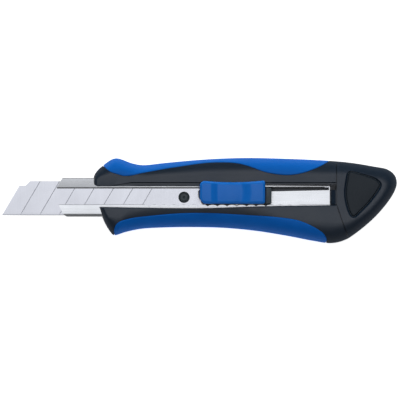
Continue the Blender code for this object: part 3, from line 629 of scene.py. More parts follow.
def slider_plastic(name):
    """The button's harder blue plastic."""
    n = Nodes(name)
    cloud = n.noise(80.0, 2.0, 0.5)
    grain = n.noise(3000.0, 2.0, 0.6)
    colour = n.ramp(cloud, [(0.3, (0.0020, 0.188, 0.730)), (0.7, (0.0040, 0.208, 0.780))])
    edge = n.new("ShaderNodeNewGeometry").outputs["Pointiness"]
    rub = n.spread(edge, 0.51, 0.58, 0.0, 0.18)
    colour = n.mix(rub, colour, (0.06, 0.24, 0.58))
    rough = n.spread(grain, 0.3, 0.7, 0.30, 0.40)
    return n.finish(colour, rough, n.bump(grain, 0.00002, 0.6), Specular_IOR_Level=0.40)


def rolled_steel(name, shade, rough_low, rough_high, lines, way=X, scratch=0.25):
    """Rolled or ground steel: fine lines one way, faint clouding, a few stray scratches."""
    n = Nodes(name)
    stretch = [lines, lines, lines]
    stretch[way] = lines * 0.012
    drawn = n.noise(1.0, 3.0, 0.65, n.scaled(*stretch))
    cloud = n.noise(70.0, 3.0, 0.6)
    stray = n.noise(1.0, 2.0, 0.5, n.scaled(260.0, 2600.0, 260.0), 0.6)
    dark = tuple(c * 0.96 for c in shade)
    light = tuple(min(1.0, c * 1.03) for c in shade)
    colour = n.mix(n.spread(cloud, 0.3, 0.7, 0.0, 1.0), dark, light)
    marks = n.spread(stray, 0.70, 0.76, 0.0, scratch)
    colour = n.mix(marks, colour, tuple(c * 0.7 for c in shade))
    rough = n.spread(drawn, 0.3, 0.7, rough_low, rough_high)
    relief = n.bump(drawn, 0.000005, 0.5)
    return n.finish(colour, rough, relief, Metallic=1.0)


BLACK = moulded_plastic("black_moulded", (0.0028, 0.0138, 0.0300), (0.0042, 0.0170, 0.0355),
                        0.34, 0.46, 2600.0, 0.00003, 0.88)
CARRIER_BLACK = moulded_plastic("carrier_moulded", (0.0170, 0.0330, 0.0400),
                                (0.0230, 0.0410, 0.0490), 0.34, 0.46, 2600.0, 0.00003, 0.76)
BADGE_BLACK = moulded_plastic("badge_moulded", (0.0030, 0.0105, 0.0180),
                              (0.0042, 0.0125, 0.0210), 0.36, 0.46, 3400.0, 0.00002, 0.44)
BLUE = soft_grip("blue_soft_grip")
BUTTON_BLUE = slider_plastic("blue_button")
CHANNEL_STEEL = rolled_steel("channel_bright_steel", (0.775, 0.785, 0.785), 0.25, 0.33, 5200.0)
BLADE_STEEL = rolled_steel("blade_ground_steel", (0.63, 0.635, 0.66), 0.235, 0.27, 6000.0, Y, 0.10)
SCREW_STEEL = rolled_steel("screw_zinc", (0.48, 0.49, 0.50), 0.26, 0.40, 4000.0)
SPRING_STEEL = rolled_steel("spring_rolled", (0.50, 0.51, 0.52), 0.28, 0.40, 4000.0)


# ---- placing a piece -------------------------------------------------------------------
def place(piece, material, body, slot, replaced, sharp=32.0):
    """Shade, paint and hang a finished piece on its body."""
    build = bmesh.new()
    build.from_mesh(piece.data)
    bmesh.ops.remove_doubles(build, verts=build.verts[:], dist=1e-6)
    build.to_mesh(piece.data)
    build.free()
    for polygon in piece.data.polygons:
        polygon.use_smooth = True
    piece.data.set_sharp_from_angle(angle=math.radians(sharp))
    piece.data.materials.clear()
    piece.data.materials.append(material)
    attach(piece, body)
    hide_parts(*replaced)
    return piece


def groove(target, line, width, depth):
    """A shallow channel of even depth along an upright line on the handle's surface."""
    left = moved_sideways(line, -width / 2)
    right = moved_sideways(line, width / 2)
    band = prism_z("band", left + right[::-1], FACE - 4.5, FACE + 2.0)
    return cut(target, cut(band, handle_solid("core", depth)))


# ---- shells ----------------------------------------------------------------------------
def make_shell(name, side):
    shell = handle_solid(name, 0.0, side, FIT / 2)
    cut(shell, grip_pocket(UPPER_GRIP_BORDER, UPPER_OUTSIDE, side, 1))
    cut(shell, grip_pocket(LOWER_GRIP_BORDER, LOWER_OUTSIDE, side, -1))
    past_seam = prism_z("past_seam", seam_region(SHELL_SHIFT, BEYOND), -2.0, FACE + 2.0)
    cut(past_seam, handle_solid("spigot", CAP_WALL + FIT))
    cut(shell, past_seam)
    cut(shell, prism_z("behind", seam_region(SPIGOT_LENGTH, BEYOND), -2.0, FACE + 2.0))
    return groove(shell, seam_line(), SEAM_GROOVE, SEAM_DEPTH)


def cut_window(shell):
    """The window's rounded edge, and its wider rear part."""
    outline = window_outline()
    rings = [at_level(outline, MID - 0.5)]
    for turn in quarter(4):
        grown = inside_out(outline, WINDOW_ROLL * (1 - math.cos(turn)))
        rings.append(at_level(grown, FACE - WINDOW_ROLL * (1 - math.sin(turn))))
    rings.append(at_level(inside_out(outline, WINDOW_ROLL), FACE + 1.0))
    cut(shell, solid_from_rings("window", rings))
    start, rear = REAR_LIP[0] - 14.0, along(WINDOW_REAR)
    wider_top = WINDOW_TOP + REAR_WIDENING
    wider = [(start, WINDOW_TOP - 1.0), (rear, WINDOW_TOP - 1.0), (rear, wider_top),
             (REAR_LIP[0], wider_top), (start, WINDOW_TOP - 0.2)]
    cut(shell, prism_z("wider_rear", wider, ROOF - 0.5, FACE + 1.0))


def cut_jaw_corner(shell):
    """The rounded corner of the upper jaw where the window runs out of the nose."""
    nose, radius = low("front_shell", X), 1.8
    corner = [(nose - 2.0, WINDOW_TOP - 1.0), (nose + radius, WINDOW_TOP - 1.0)]
    for turn in quarter(8):
        corner.append((nose + radius * (1 - math.sin(turn)),
                       WINDOW_TOP + radius * (1 - math.cos(turn))))
    corner.append((nose - 2.0, WINDOW_TOP + radius))
    cut(shell, prism_z("jaw_corner", corner, MID, FACE + 1.0))


def cut_step(shell):
    """The shallow step above the window, fading out on the upper jaw, with a rolled edge."""
    rings = []
    for x, depth, edge in ((-45.0, 0.02, 0.3), (-36.0, 1.0, 1.0), (WINDOW_REAR, 1.0, 1.0)):
        floor = FACE - (FACE - STEP_FLOOR) * depth
        top = WINDOW_TOP + (STEP_TOP - WINDOW_TOP) * edge
        side = [(WINDOW_TOP - 1.0, floor), (top - 0.35, floor), (top + 0.15, FACE + 0.01),
                (top + 0.15, FACE + 1.0), (WINDOW_TOP - 1.0, FACE + 1.0)]
        rings.append([(along(x), y, z) for y, z in side])
    cut(shell, solid_from_rings("step", rings))
    roll = 0.35
    lip = [(WINDOW_TOP - 0.2, STEP_FLOOR - roll)]
    for turn in quarter(4):
        lip.append((WINDOW_TOP + roll * (1 - math.cos(turn)), STEP_FLOOR - roll * (1 - math.sin(turn))))
    lip += [(WINDOW_TOP + roll, STEP_FLOOR + 0.3), (WINDOW_TOP - 0.2, STEP_FLOOR + 0.3)]
    cut(shell, prism_x("lip", lip, along(-35.0), along(WINDOW_REAR)))


def make_front_shell():
    shell = make_shell("shell_front", 1)
    cut(shell, block("room", (along(-60.0), CHANNEL_REAR + FIT),
                     (CHANNEL_LOW - FIT, CHANNEL_HIGH + FIT), (MID - 1.0, ROOF)))
    cut_window(shell)
    cut_jaw_corner(shell)
    cut_step(shell)
    return place(shell, BLACK, "handle", "black_plastic", ["front_shell"])


def make_back_shell():
    shell = make_shell("shell_back", -1)
    chamfer = 0.35
    for node, (x, y) in SCREWS.items():
        spot = (along(x), across(y))
        seat = high(node, X) - spot[0] + 0.25
        cut(shell, turned("seat", *spot, [(seat + chamfer, -1.0), (seat + chamfer, -0.01),
                                          (seat, chamfer), (seat, 2.5)]))
        cut(shell, turned("hole", *spot, [(FASTENER_HOLE, 0.5), (FASTENER_HOLE, MID + 1.0)]))
    for node in RIVETS:
        hole = [(FASTENER_HOLE, low(node, Z) - FIT), (FASTENER_HOLE, MID + 1.0)]
        cut(shell, turned("hole", *middle_of(node), hole))
    well_low, well_floor = 6.0, 3.5
    cut(shell, block("well", (along(7.0), CHANNEL_REAR - 1.0), (well_low, CHANNEL_HIGH - 2.0),
                     (well_floor, MID + 1.0)))
    return place(shell, BLACK, "handle", "black_plastic", ["back_shell"])


# ---- grips -----------------------------------------------------------------------------
def ray_span(start, way, region):
    """Where a ray enters and leaves a closed outline, as distances along it."""
    crossings = []
    for first, second in zip(region, region[1:] + region[:1]):
        edge = np.array(second) - np.array(first)
        det = way[0] * -edge[1] + way[1] * edge[0]
        if abs(det) < 1e-9:
            continue
        gap = np.array(first) - start
        distance = (gap[0] * -edge[1] + gap[1] * edge[0]) / det
        share = (way[0] * gap[1] - way[1] * gap[0]) / det
        if distance > 0 and 0 <= share < 1:
            crossings.append(distance)
    crossings.sort()
    if len(crossings) % 2 == 1:
        return 0.0, crossings[0]
    if len(crossings) >= 2:
        return crossings[0], crossings[1]
    return 0.0, 0.0


def grip_rows(border, outside, side, columns, stride):
    """Rows of surface points across a grip, each from the widest line to the grip's border."""
    region = grip_region(border, outside, 0.0, step=0.8)
    fine = smooth_curve(placed_stations(), closed=True, step=stride)
    power = ROUND_POWER[side]
    rows = []
    for station in fine:
        wide, flat = station[:2], station[4:] if side > 0 else station[2:4]
        depth = float(np.linalg.norm(flat - wide))
        way = (flat - wide) / depth
        enter, leave = ray_span(wide, way, region)
        if leave - enter < 0.05 or leave > 16.0:
            rows.append(None)
            continue
        row = []
        for column in range(columns + 1):
            share = 0.5 * (1 - math.cos(math.pi * column / columns))
            reach = enter + (leave - enter) * share
            if reach < depth:
                turn = math.acos(max(0.0, 1 - reach / depth) ** (1 / power))
                height = MID * math.sin(turn) ** power
            else:
                height = MID
            point = wide + way * reach
            row.append((point[0], point[1], max(height, FIT / 2)))
        rows.append((row, enter > 0.0))
    first = next(i for i in range(len(rows)) if rows[i] is not None and rows[i - 1] is None)
    from_first = rows[first:] + rows[:first]
    return from_first[:from_first.index(None)]


def rolled(distance, radius):
    """How far a rounded edge has dropped at a distance from its end."""
    short = np.clip(radius - distance, 0.0, None)
    return radius - np.sqrt(np.clip(radius ** 2 - short ** 2, 0.0, None))


def make_grip(name, border, outside, side, node):
    """A grip that stands a little proud of the shell, with its border rolled over."""
    proud, roll, thick = 0.12, 0.55, 1.25
    rows = grip_rows(border, outside, side, 30, 0.9)
    points = np.array([row for row, late in rows])
    late = np.array([late for row, late in rows])
    steps = np.linalg.norm(np.diff(points, axis=1), axis=2)
    path = np.concatenate([np.zeros((len(points), 1)), np.cumsum(steps, axis=1)], axis=1)
    total = path[:, -1:]
    to_border = total - path
    from_start = np.where(late[:, None], path, 99.0)
    travel = np.linalg.norm(np.diff(points.mean(axis=1), axis=0), axis=1)
    run = np.concatenate([[0.0], np.cumsum(travel)])
    to_end = np.minimum(run, run[-1] - run)[:, None]
    near = np.minimum(to_border, from_start)
    radius = np.minimum(roll, 0.45 * total + 0.05)
    sink = np.maximum(rolled(near, radius), rolled(to_end, 0.06))
    ease = np.clip(path / 4.0, 0.0, 1.0)
    ease = ease * ease * (3 - 2 * ease)
    along_rows = np.gradient(points, axis=0)
    along_columns = np.gradient(points, axis=1)
    normal = np.cross(along_rows, along_columns)
    normal /= np.linalg.norm(normal, axis=2, keepdims=True) + 1e-12
    middle = points[len(points) // 2, 0]
    if normal[len(points) // 2, 2] @ np.array([0.0, math.copysign(1.0, middle[1]), 0.3]) < 0:
        normal = -normal
    outer = points + normal * (proud * ease - sink)[:, :, None]
    inner = outer - normal * thick
    inner[:, :, 2] = np.maximum(inner[:, :, 2], FIT / 2)
    outer[:, :, 2] = np.maximum(outer[:, :, 2], FIT / 2)
    build = bmesh.new()

    def grid(layer):
        return [[build.verts.new((p[0] * MM, p[1] * MM, (MID + side * p[2]) * MM)) for p in row]
                for row in layer]

    grip = sheet_solid(name, build, grid(outer), grid(inner))
    return place(grip, BLUE, "handle", "grip_blue", [node], sharp=50.0)


# ---- end cap ---------------------------------------------------------------------------
def badge_outline(growth):
    return inside_out(smooth_curve(in_place(BADGE), closed=True, step=0.8), growth)


def make_end_cap():
    cap = handle_solid("cap_body")
    keep(cap, prism_z("cap_region", seam_region(CAP_SHIFT, BEYOND), -2.0, FACE + 2.0))
    cut(cap, handle_solid("cap_room", CAP_WALL))
    front = low("end_cap", X)
    tongue = [(front + 0.2, 13.4), (front + 4.3, 14.7), (front + 4.3, 15.6), (front + 2.5, 15.6),
              (front + 0.2, 13.9)]
    join(cap, prism_y("tongue", tongue, FLANGE_LOW, WINDOW_TOP - 2.2))
    wide, narrow = badge_outline(BADGE_GROOVE), badge_outline(BADGE_GROOVE * 0.15)
    for face, way in ((FACE, 1), (0.0, -1)):
        rings = [at_level(narrow, face - way * BADGE_DEPTH),
                 at_level(narrow, face - way * BADGE_DEPTH * 0.8),
                 at_level(wide, face), at_level(wide, face + way)]
        cut(cap, solid_from_rings("recess", rings))
    groove(cap, seam_line(), SEAM_GROOVE, SEAM_DEPTH)
    groove(cap, in_place([(75.3, 12.8), (75.2, 16.0), (75.0, 24.0)]), 0.5, 0.3)
    return place(cap, BLACK, "cap", "black_plastic", ["end_cap"])


def make_badge(name, side, node):
    bottom, top = (FACE - BADGE_DEPTH + 0.05, FACE) if side > 0 else (0.0, BADGE_DEPTH - 0.05)
    outline = badge_outline(0.0)
    if side > 0:
        badge = pillow(name, outline, bottom, top, 0.7)
    else:
        badge = pillow(name, outline, bottom, top, 0.3, both=True)
    return place(badge, BADGE_BLACK, "cap", "badge_plastic", [node])


# ---- channel and blade -----------------------------------------------------------------
def scallop_outline():
    """The waste above a row of rounded bumps with sharp notches between them."""
    forward, back = 9, 6
    first = TOOTH_X - forward * NOTCH_PITCH
    half = NOTCH_PITCH / 2
    radius = (half * half + NOTCH_DEPTH * NOTCH_DEPTH) / (2 * NOTCH_DEPTH)
    root = LOWER_LIP_EDGE - NOTCH_DEPTH
    outline = [(first - half, LOWER_LIP_EDGE + 0.5), (first - half, LOWER_LIP_EDGE), (first, root)]
    for step in range(forward + back):
        middle = first + (step + 0.5) * NOTCH_PITCH
        for share in np.linspace(-0.85, 0.85, 9):
            offset = share * half
            rise = math.sqrt(radius * radius - offset * offset) - (radius - NOTCH_DEPTH)
            outline.append((middle + offset, root + rise))
        outline.append((middle + half, root))
    last = first + (forward + back) * NOTCH_PITCH
    return outline + [(last + half, LOWER_LIP_EDGE), (last + half, LOWER_LIP_EDGE + 0.5)]


def make_channel():
    upper_bend, lower_bend = 0.45, 1.7
    fold_top, lean = LIP_TOP + 0.25, 0.36
    sheet = 0.45
    edge = UPPER_LIP_EDGE - LIP_ROLL
    channel_low = CHANNEL_LOW + STEEL - sheet
    profile = rounded_outline([
        (channel_low, FLOOR_BOTTOM, lower_bend), (CHANNEL_HIGH, FLOOR_BOTTOM, upper_bend),
        (CHANNEL_HIGH, fold_top, upper_bend), (edge + 0.68, LIP_TOP - lean, 0.2),
        (edge + 0.06, LIP_BOTTOM + 0.06, 0.03), (edge, LIP_BOTTOM, 0.02),
        (CHANNEL_HIGH - STEEL, LIP_BOTTOM, 0.4), (CHANNEL_HIGH - STEEL, FLOOR_TOP, 0.4),
        (channel_low + sheet, FLOOR_TOP, 0.4), (channel_low + sheet, LIP_BOTTOM, 0.4),
        (LOWER_LIP_EDGE, LIP_BOTTOM, 0.05), (LOWER_LIP_EDGE, LIP_TOP, 0.2),
        (channel_low, LIP_TOP - 0.12, lower_bend),
    ])
    channel = prism_x("channel_folded", profile, CHANNEL_FRONT, CHANNEL_REAR)
    nose = [
        (CHANNEL_FRONT - 3, CHANNEL_HIGH + 1), (CHANNEL_FRONT + 3.0, CHANNEL_HIGH + 1),
        (CHANNEL_FRONT + 2.8, CHANNEL_HIGH - 0.3), (CHANNEL_FRONT, UPPER_LIP_EDGE + 0.3),
        (CHANNEL_FRONT + 1.1, LOWER_LIP_EDGE - 0.4), (CHANNEL_FRONT + 3.1, channel_low + 2.0),
        (CHANNEL_FRONT + 3.9, channel_low + 0.9), (CHANNEL_FRONT + 4.8, channel_low + 0.3),
        (CHANNEL_FRONT + 5.6, channel_low - 0.1), (CHANNEL_FRONT - 3, channel_low - 1),
    ]
    cut(channel, prism_z("nose", nose, FLOOR_BOTTOM - 1, LIP_TOP + 1))
    relief_front, relief_rear, relief_high = along(6.0), CHANNEL_REAR - 0.5, CHANNEL_HIGH - 1.2
    relief = [(relief_front, 4.15), (relief_rear, 5.5), (relief_rear, relief_high),
              (relief_front, relief_high)]
    cut(channel, prism_z("relief", relief, FLOOR_BOTTOM - 1, FLOOR_TOP + 0.3))
    cut(channel, block("thin_lip", (REAR_LIP[0], CHANNEL_REAR - 2.9), (UPPER_LIP_EDGE - 1, REAR_LIP[1]),
                       (LIP_BOTTOM - 0.4, LIP_TOP + 1)))
    gutter_low, gutter_high = REAR_LIP[1] + 0.2, REAR_LIP[1] + 1.5
    gutter = [(gutter_low, LIP_TOP + 0.5), (gutter_low, LIP_TOP - 0.3),
              (gutter_high, LIP_TOP - 0.62), (gutter_high, LIP_TOP + 0.5)]
    cut(channel, prism_x("gutter", gutter, REAR_LIP[0], CHANNEL_REAR + 1.0))
    cut(channel, prism_z("scallops", scallop_outline(), LIP_BOTTOM - 0.4, LIP_TOP + 1))
    corner = [(CHANNEL_REAR + 1, UPPER_LIP_EDGE - 1), (CHANNEL_REAR + 1, UPPER_LIP_EDGE + 1.5),
              (CHANNEL_REAR - 2.6, UPPER_LIP_EDGE - 1)]
    cut(channel, prism_z("corner", corner, LIP_BOTTOM - 0.4, LIP_TOP + 1))
    shank_hole = 1.3
    for node in RIVETS:
        head_hole = (high(node, X) - low(node, X)) / 2 + 0.2
        sink = [(shank_hole, FLOOR_BOTTOM - 0.5), (shank_hole, FLOOR_BOTTOM),
                (head_hole, FLOOR_TOP), (head_hole, FLOOR_TOP + 0.5)]
        cut(channel, turned("sink", *middle_of(node), sink))
    return place(channel, CHANNEL_STEEL, "handle", "channel_steel", ["blade_channel"])


def make_blade():
    centre = (BLADE_BOTTOM + BLADE_TOP) / 2
    grind = BLADE_EDGE_Y + 1.7
    profile = [
        (BLADE_BACK_Y, BLADE_BOTTOM + 0.06), (BLADE_BACK_Y, BLADE_TOP - 0.06),
        (BLADE_BACK_Y - 0.06, BLADE_TOP), (grind, BLADE_TOP),
        (BLADE_EDGE_Y + 0.25, BLADE_TOP - 0.065), (BLADE_EDGE_Y, centre + 0.02),
        (BLADE_EDGE_Y, centre - 0.02), (BLADE_EDGE_Y + 0.25, BLADE_BOTTOM + 0.09),
        (grind, BLADE_BOTTOM), (BLADE_BACK_Y - 0.06, BLADE_BOTTOM),
    ]
    blade = prism_x("blade_segmented", profile, TIP_X, TANG_X)
    ledge = BLADE_BACK_Y - 2.3
    ledge_x = TIP_X + (ledge - BLADE_EDGE_Y) * LEAN
    front = [
        (TIP_X - LEAN, BLADE_EDGE_Y - 1.0), (ledge_x, ledge), (ledge_x + 3.3, ledge),
        (ledge_x + 5.7, BLADE_BACK_Y + 0.1), (ledge_x + 5.7, BLADE_BACK_Y + 2.0),
        (TIP_X - 4.0, BLADE_BACK_Y + 2.0), (TIP_X - 4.0, BLADE_EDGE_Y - 1.0),
    ]
    cut(blade, prism_z("front", front, BLADE_BOTTOM - 1, BLADE_TOP + 1))
    for index in range(7):
        base = TIP_X + 9.65 + index * SEGMENT
        rings = []
        for y in (BLADE_EDGE_Y - 0.4, BLADE_BACK_Y + 0.4):
            x = base + (y - BLADE_EDGE_Y) * LEAN
            rings.append([(x - 0.2, y, BLADE_TOP + 0.02), (x, y, BLADE_TOP - 0.13),
                          (x + 0.2, y, BLADE_TOP + 0.02)])
        cut(blade, solid_from_rings("score", rings))
    for y, way in ((BLADE_BACK_Y, 1), (BLADE_EDGE_Y, -1)):
        corner = [(TANG_X - 2.2, y + way * 0.5), (TANG_X - 1.7, y), (TANG_X, y - way * 1.7),
                  (TANG_X + 0.5, y - way * 2.2), (TANG_X + 0.5, y + way * 0.5)]
        cut(blade, prism_z("corner", corner, BLADE_BOTTOM - 1, BLADE_TOP + 1))
    hole = STUD_RADIUS + 0.2
    cut(blade, turned("hole", *STUD, [(hole, BLADE_BOTTOM - 1), (hole, BLADE_TOP + 1)]))
    return place(blade, BLADE_STEEL, "slider", "blade_steel", ["blade"], sharp=3.0)


# ---- carrier and button ----------------------------------------------------------------
def make_carrier():
    neck_low, neck_high = LOWER_LIP_EDGE + 0.25, UPPER_LIP_EDGE - LIP_ROLL - 0.25
    front = low("blade_carrier", X)
    arm = rounded_outline([
        (front, neck_low, 2.5), (CARRIER_REAR, neck_low, 0.5),
        (CARRIER_REAR, neck_high - 1.0, 0.5), (front, neck_high - 1.0, 2.5),
    ])
    carrier = prism_z("carrier_moulded", arm, ARM_BOTTOM, ARM_TOP)
    join(carrier, block("skid", (TANG_X + 0.5, CARRIER_REAR - 0.4), (neck_low - 2.6, neck_high - 1.2),
                        (ARM_BOTTOM + 0.1, ARM_TOP - 0.1)))
    crown = BLADE_TOP + 1.1
    join(carrier, turned("stud", *STUD, [
        (STUD_RADIUS, ARM_TOP - 0.4), (STUD_RADIUS, crown - 0.45), (STUD_RADIUS - 0.12, crown - 0.2),
        (STUD_RADIUS - 0.4, crown),
    ]))
    ring = turned("ring", *STUD, [(2.0, crown - 0.35), (2.2, crown + 0.01), (2.2, crown + 1.0)])
    cut(ring, turned("boss", *STUD, [(1.9, crown - 1.0), (1.9, crown - 0.2), (1.75, crown - 0.1),
                                     (0.0001, crown - 0.08)]))
    cut(carrier, ring)
    cut(carrier, turned("dimple", *STUD, [(0.25, crown - 0.6), (0.75, crown), (0.75, crown + 1.0)]))
    join(carrier, block("neck", (TANG_X + 0.25, CARRIER_REAR - 0.8), (neck_low + 0.1, neck_high - 0.1),
                        (ARM_BOTTOM + 0.2, ROOF + 0.4)))
    flange_high = WINDOW_TOP - 2 * FIT
    shoulder = CARRIER_FRONT + 1.9
    flange = rounded_outline([
        (shoulder, FLANGE_LOW, 1.6), (CARRIER_REAR - 0.4, FLANGE_LOW, 0.6),
        (CARRIER_REAR - 0.4, flange_high, 0.6), (shoulder, flange_high, 1.0),
        (CARRIER_FRONT + 1.1, flange_high - 1.0, 0.8), (CARRIER_FRONT + 0.1, flange_high - 2.2, 1.0),
        (CARRIER_FRONT, flange_high - 4.0, 1.0), (CARRIER_FRONT + 0.3, FLANGE_LOW + 3.4, 1.0),
        (CARRIER_FRONT + 1.3, FLANGE_LOW + 2.0, 0.8),
    ])
    join(carrier, pillow("flange", flange, ROOF, FLANGE_TOP, 0.3))
    rear_front = CARRIER_REAR - 3.1
    rear = rounded_outline([
        (rear_front, FLANGE_LOW + 0.2, 0.3), (CARRIER_REAR, FLANGE_LOW + 0.2, 0.8),
        (CARRIER_REAR, flange_high - 0.3, 0.8), (rear_front, flange_high - 0.3, 0.3),
    ])
    join(carrier, pillow("rear", rear, FLANGE_TOP - 0.4, high("blade_carrier", Z), 0.3))
    pocket_low, pocket_high = neck_low + 1.1, neck_high - 1.1
    cut(carrier, block("pocket", (TOOTH_X - 11.0, TOOTH_X + 11.0), (pocket_low, pocket_high),
                       (ARM_TOP, FLANGE_TOP + 1.0)))
    cut(carrier, block("slot", (TOOTH_X - 2.0, TOOTH_X + 2.0), (neck_low - 2.0, pocket_low + 0.5),
                       (ARM_TOP, ROOF)))
    return place(carrier, CARRIER_BLACK, "slider", "black_plastic", ["blade_carrier"])


def button_edges(x):
    """Lowest and highest y of the button's plan at a place along it."""
    front, rear = BUTTON_FRONT - NOSE, BUTTON_REAR
    middle = (front + rear) / 2
    half = (rear - front) / 2
    bow = 1.0 - ((x - middle) / half) ** 2
    lower, upper = BUTTON_LOW, BUTTON_HIGH - 1.0 * max(bow, 0.0)
    for corner, radius_low, radius_high in ((front, 3.4, 3.0), (rear, 1.2, 1.2)):
        inward = abs(x - corner)
        if inward < radius_low:
            lower += radius_low - math.sqrt(radius_low ** 2 - (radius_low - inward) ** 2)
        if inward < radius_high:
            upper -= radius_high - math.sqrt(radius_high ** 2 - (radius_high - inward) ** 2)
    return lower, upper


def saddle_depth(x, y):
    """How far the thumb rest lies below the button's crest."""
    centre_y = (BUTTON_LOW + BUTTON_HIGH) / 2
    bulge = 1.2 * (1 - ((y - centre_y) / 6.2) ** 2)
    start = BUTTON_FRONT + 5.6 - 0.3 * bulge
    end = BUTTON_FRONT + 26.4 + bulge
    walls = eased((x - start) / 4.0) * eased((end - x) / 6.4)
    swell = eased((x - start - 4.0) / 6.0) * eased((end - 4.0 - x) / 6.0)
    return 1.9 * walls - 0.35 * swell


def make_button():
    """A moulded thumb button: rounded rim, two ridges and a dished thumb rest."""
    front, rear = BUTTON_FRONT - NOSE, BUTTON_REAR
    columns, rows = 150, 44
    rim = 1.4
    plan = []
    for step in range(columns + 1):
        t = step / columns
        x = front + (rear - front) * (t - 0.10 * math.sin(4 * math.pi * t) / (2 * math.pi))
        plan.append((x, *button_edges(x)))
    edge = np.array([(x, lower) for x, lower, upper in plan]
                    + [(x, upper) for x, lower, upper in plan[::-1]])
    span = np.roll(edge, -1, axis=0) - edge
    length = np.maximum((span ** 2).sum(axis=1), 1e-12)

    def top_height(x, y):
        spot = np.array([x, y])
        t = np.clip(((spot - edge) * span).sum(axis=1) / length, 0.0, 1.0)
        gap = np.sqrt(((edge + span * t[:, None] - spot) ** 2).sum(axis=1)).min()
        crown = 0.25 * ((y - sum(button_edges(x)) / 2) / 6.0) ** 2
        height = BUTTON_TOP - float(rolled(gap, rim)) - crown - saddle_depth(x, y)
        return max(height, OVERHANG_BOTTOM + 0.2)

    shares = [0.5 * (1 - math.cos(math.pi * step / rows)) for step in range(rows + 1)]
    build = bmesh.new()

    def grid(height):
        layer = []
        for x, lower, upper in plan:
            line = [(x, lower + (upper - lower) * share) for share in shares]
            layer.append([build.verts.new((x * MM, y * MM, height(x, y) * MM)) for x, y in line])
        return layer

    top = grid(top_height)
    under = grid(lambda x, y: OVERHANG_BOTTOM)
    button = sheet_solid("button_thumb", build, top, under)
    skirt = rounded_outline([
        (front + 0.3, BUTTON_LOW + 0.05, 3.0), (rear - 0.1, BUTTON_LOW + 0.05, 1.0),
        (rear - 0.1, WINDOW_TOP - 2 * FIT, 1.0), (front + 0.3, WINDOW_TOP - 2 * FIT, 1.6),
    ])
    join(button, prism_z("skirt", skirt, BUTTON_BOTTOM, OVERHANG_BOTTOM + 0.4))
    join(button, block("plunger", (TOOTH_X - 3.0, TOOTH_X + 3.0),
                       (LOWER_LIP_EDGE + 1.85, UPPER_LIP_EDGE - 1.85),
                       (PLUNGER_BOTTOM, BUTTON_BOTTOM + 0.5)))
    return place(button, BUTTON_BLUE, "button", "slider_blue", ["slider_button"], sharp=40.0)


# ---- nodes kept from the frame, with finished materials --------------------------------
def repaint(node, material):
    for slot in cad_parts[node].material_slots:
        slot.material = material


make_back_shell()
make_front_shell()
for strip, border, outside in (("upper", UPPER_GRIP_BORDER, UPPER_OUTSIDE),
                               ("lower", LOWER_GRIP_BORDER, LOWER_OUTSIDE)):
    for face, side in (("front", 1), ("back", -1)):
        make_grip(f"grip_{strip}_{face}", border, outside, side, f"{strip}_grip_{face}")
make_end_cap()
for face, side in (("front", 1), ("back", -1)):
    make_badge(f"badge_{face}", side, f"cap_badge_{face}")
make_channel()
make_blade()
make_carrier()
make_button()
for node in SCREWS:
    repaint(node, SCREW_STEEL)
for node in (*RIVETS, "lock_spring"):
    repaint(node, SPRING_STEEL)


# ---- floor, light, camera --------------------------------------------------------------
SKY_STRENGTH = 1.35
SKY_TINT = (0.965, 0.985, 1.05)
FLOOR_GAP = 0.0002             # metres, so that the floor and the back face don't flicker
VIEW_SHIFT = (0.00026, 0.00029)     # metres, from the part's centre to the photo's
VIEW_MARGIN = 1.0105           # width of the view over the part's length


def make_floor():
    n = Nodes("pale_floor")
    cloud = n.noise(3.0, 3.0, 0.5)
    colour = n.ramp(cloud, [(0.3, (0.92, 0.92, 0.92)), (0.7, (0.94, 0.94, 0.94))])
    n.link(colour, n.shader.inputs["Emission Color"])
    material = n.finish(colour, Roughness=0.9, Specular_IOR_Level=0.1, Emission_Strength=0.94)
    mesh = bpy.data.meshes.new("floor")
    reach = 3.0
    mesh.from_pydata([(-reach, -reach, 0), (reach, -reach, 0), (reach, reach, 0), (-reach, reach, 0)],
                     [], [(0, 1, 2, 3)])
    floor = bpy.data.objects.new("floor", mesh)
    mesh.materials.append(material)
    bpy.context.scene.collection.objects.link(floor)
    floor.location.z = -FLOOR_GAP
    floor.visible_glossy = False


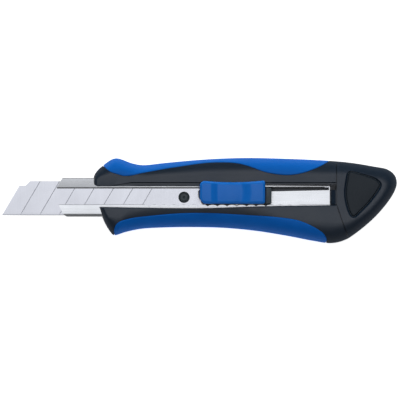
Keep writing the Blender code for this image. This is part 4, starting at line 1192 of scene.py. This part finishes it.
def make_world():
    """A big softbox overhead, leaning to the spine side, in an otherwise dim room."""
    world = bpy.data.worlds.new("studio")
    bpy.context.scene.world = world
    world.use_nodes = True
    tree = world.node_tree
    tree.nodes.clear()
    out = tree.nodes.new("ShaderNodeOutputWorld")
    back = tree.nodes.new("ShaderNodeBackground")
    coordinates = tree.nodes.new("ShaderNodeTexCoord")
    facing = tree.nodes.new("ShaderNodeVectorMath")
    facing.operation = 'DOT_PRODUCT'
    facing.inputs[1].default_value = (0.0, 0.087, 0.996)
    ramp = tree.nodes.new("ShaderNodeValToRGB")
    tree.links.new(coordinates.outputs["Generated"], facing.inputs[0])
    tree.links.new(facing.outputs["Value"], ramp.inputs["Fac"])
    tree.links.new(ramp.outputs["Color"], back.inputs["Color"])
    tree.links.new(back.outputs[0], out.inputs[0])
    # How near a direction is to the softbox's middle, and how bright the sky is there.
    sky = [(0.0, 0.14), (0.35, 0.07), (0.70, 0.075), (0.87, 0.14), (0.93, 0.30), (0.965, 0.58),
           (0.988, 1.05)]
    stops = ramp.color_ramp.elements
    while len(stops) < len(sky):
        stops.new(0.5)
    for stop, (place_at, level) in zip(stops, sky):
        stop.position = place_at
        stop.color = (*(level * share for share in SKY_TINT), 1)
    back.inputs["Strength"].default_value = SKY_STRENGTH


def area_light(name, place_at, aim, size, power, colour=(1, 1, 1)):
    data = bpy.data.lights.new(name, 'AREA')
    data.shape = 'RECTANGLE'
    data.size, data.size_y = size
    data.energy = power
    data.color = colour
    lamp = bpy.data.objects.new(name, data)
    bpy.context.scene.collection.objects.link(lamp)
    lamp.location = place_at
    way = Vector(aim) - Vector(place_at)
    lamp.rotation_euler = way.to_track_quat('-Z', 'Y').to_euler()
    lamp.visible_glossy = False


def make_camera():
    """Straight above the knife, a long lens three metres away."""
    low_corner, high_corner = cad_box
    centre = [(low_corner[axis] + high_corner[axis]) / 2 + VIEW_SHIFT[axis] for axis in (X, Y)]
    distance = 3.0
    view_width = (high_corner[X] - low_corner[X]) * VIEW_MARGIN
    data = bpy.data.cameras.new("camera")
    data.sensor_width = 36.0
    data.lens = data.sensor_width * distance / view_width
    data.clip_end = 20.0
    camera = bpy.data.objects.new("camera", data)
    camera.location = (*centre, FACE * MM + distance)
    bpy.context.scene.collection.objects.link(camera)
    bpy.context.scene.camera = camera


make_floor()
make_world()
area_light("key_spine_side", (0.0, 1.5, 1.05), (0.0, 0.0, 0.0), (2.2, 1.0), 19.0)
make_camera()
bpy.context.scene.view_settings.view_transform = 'Standard'
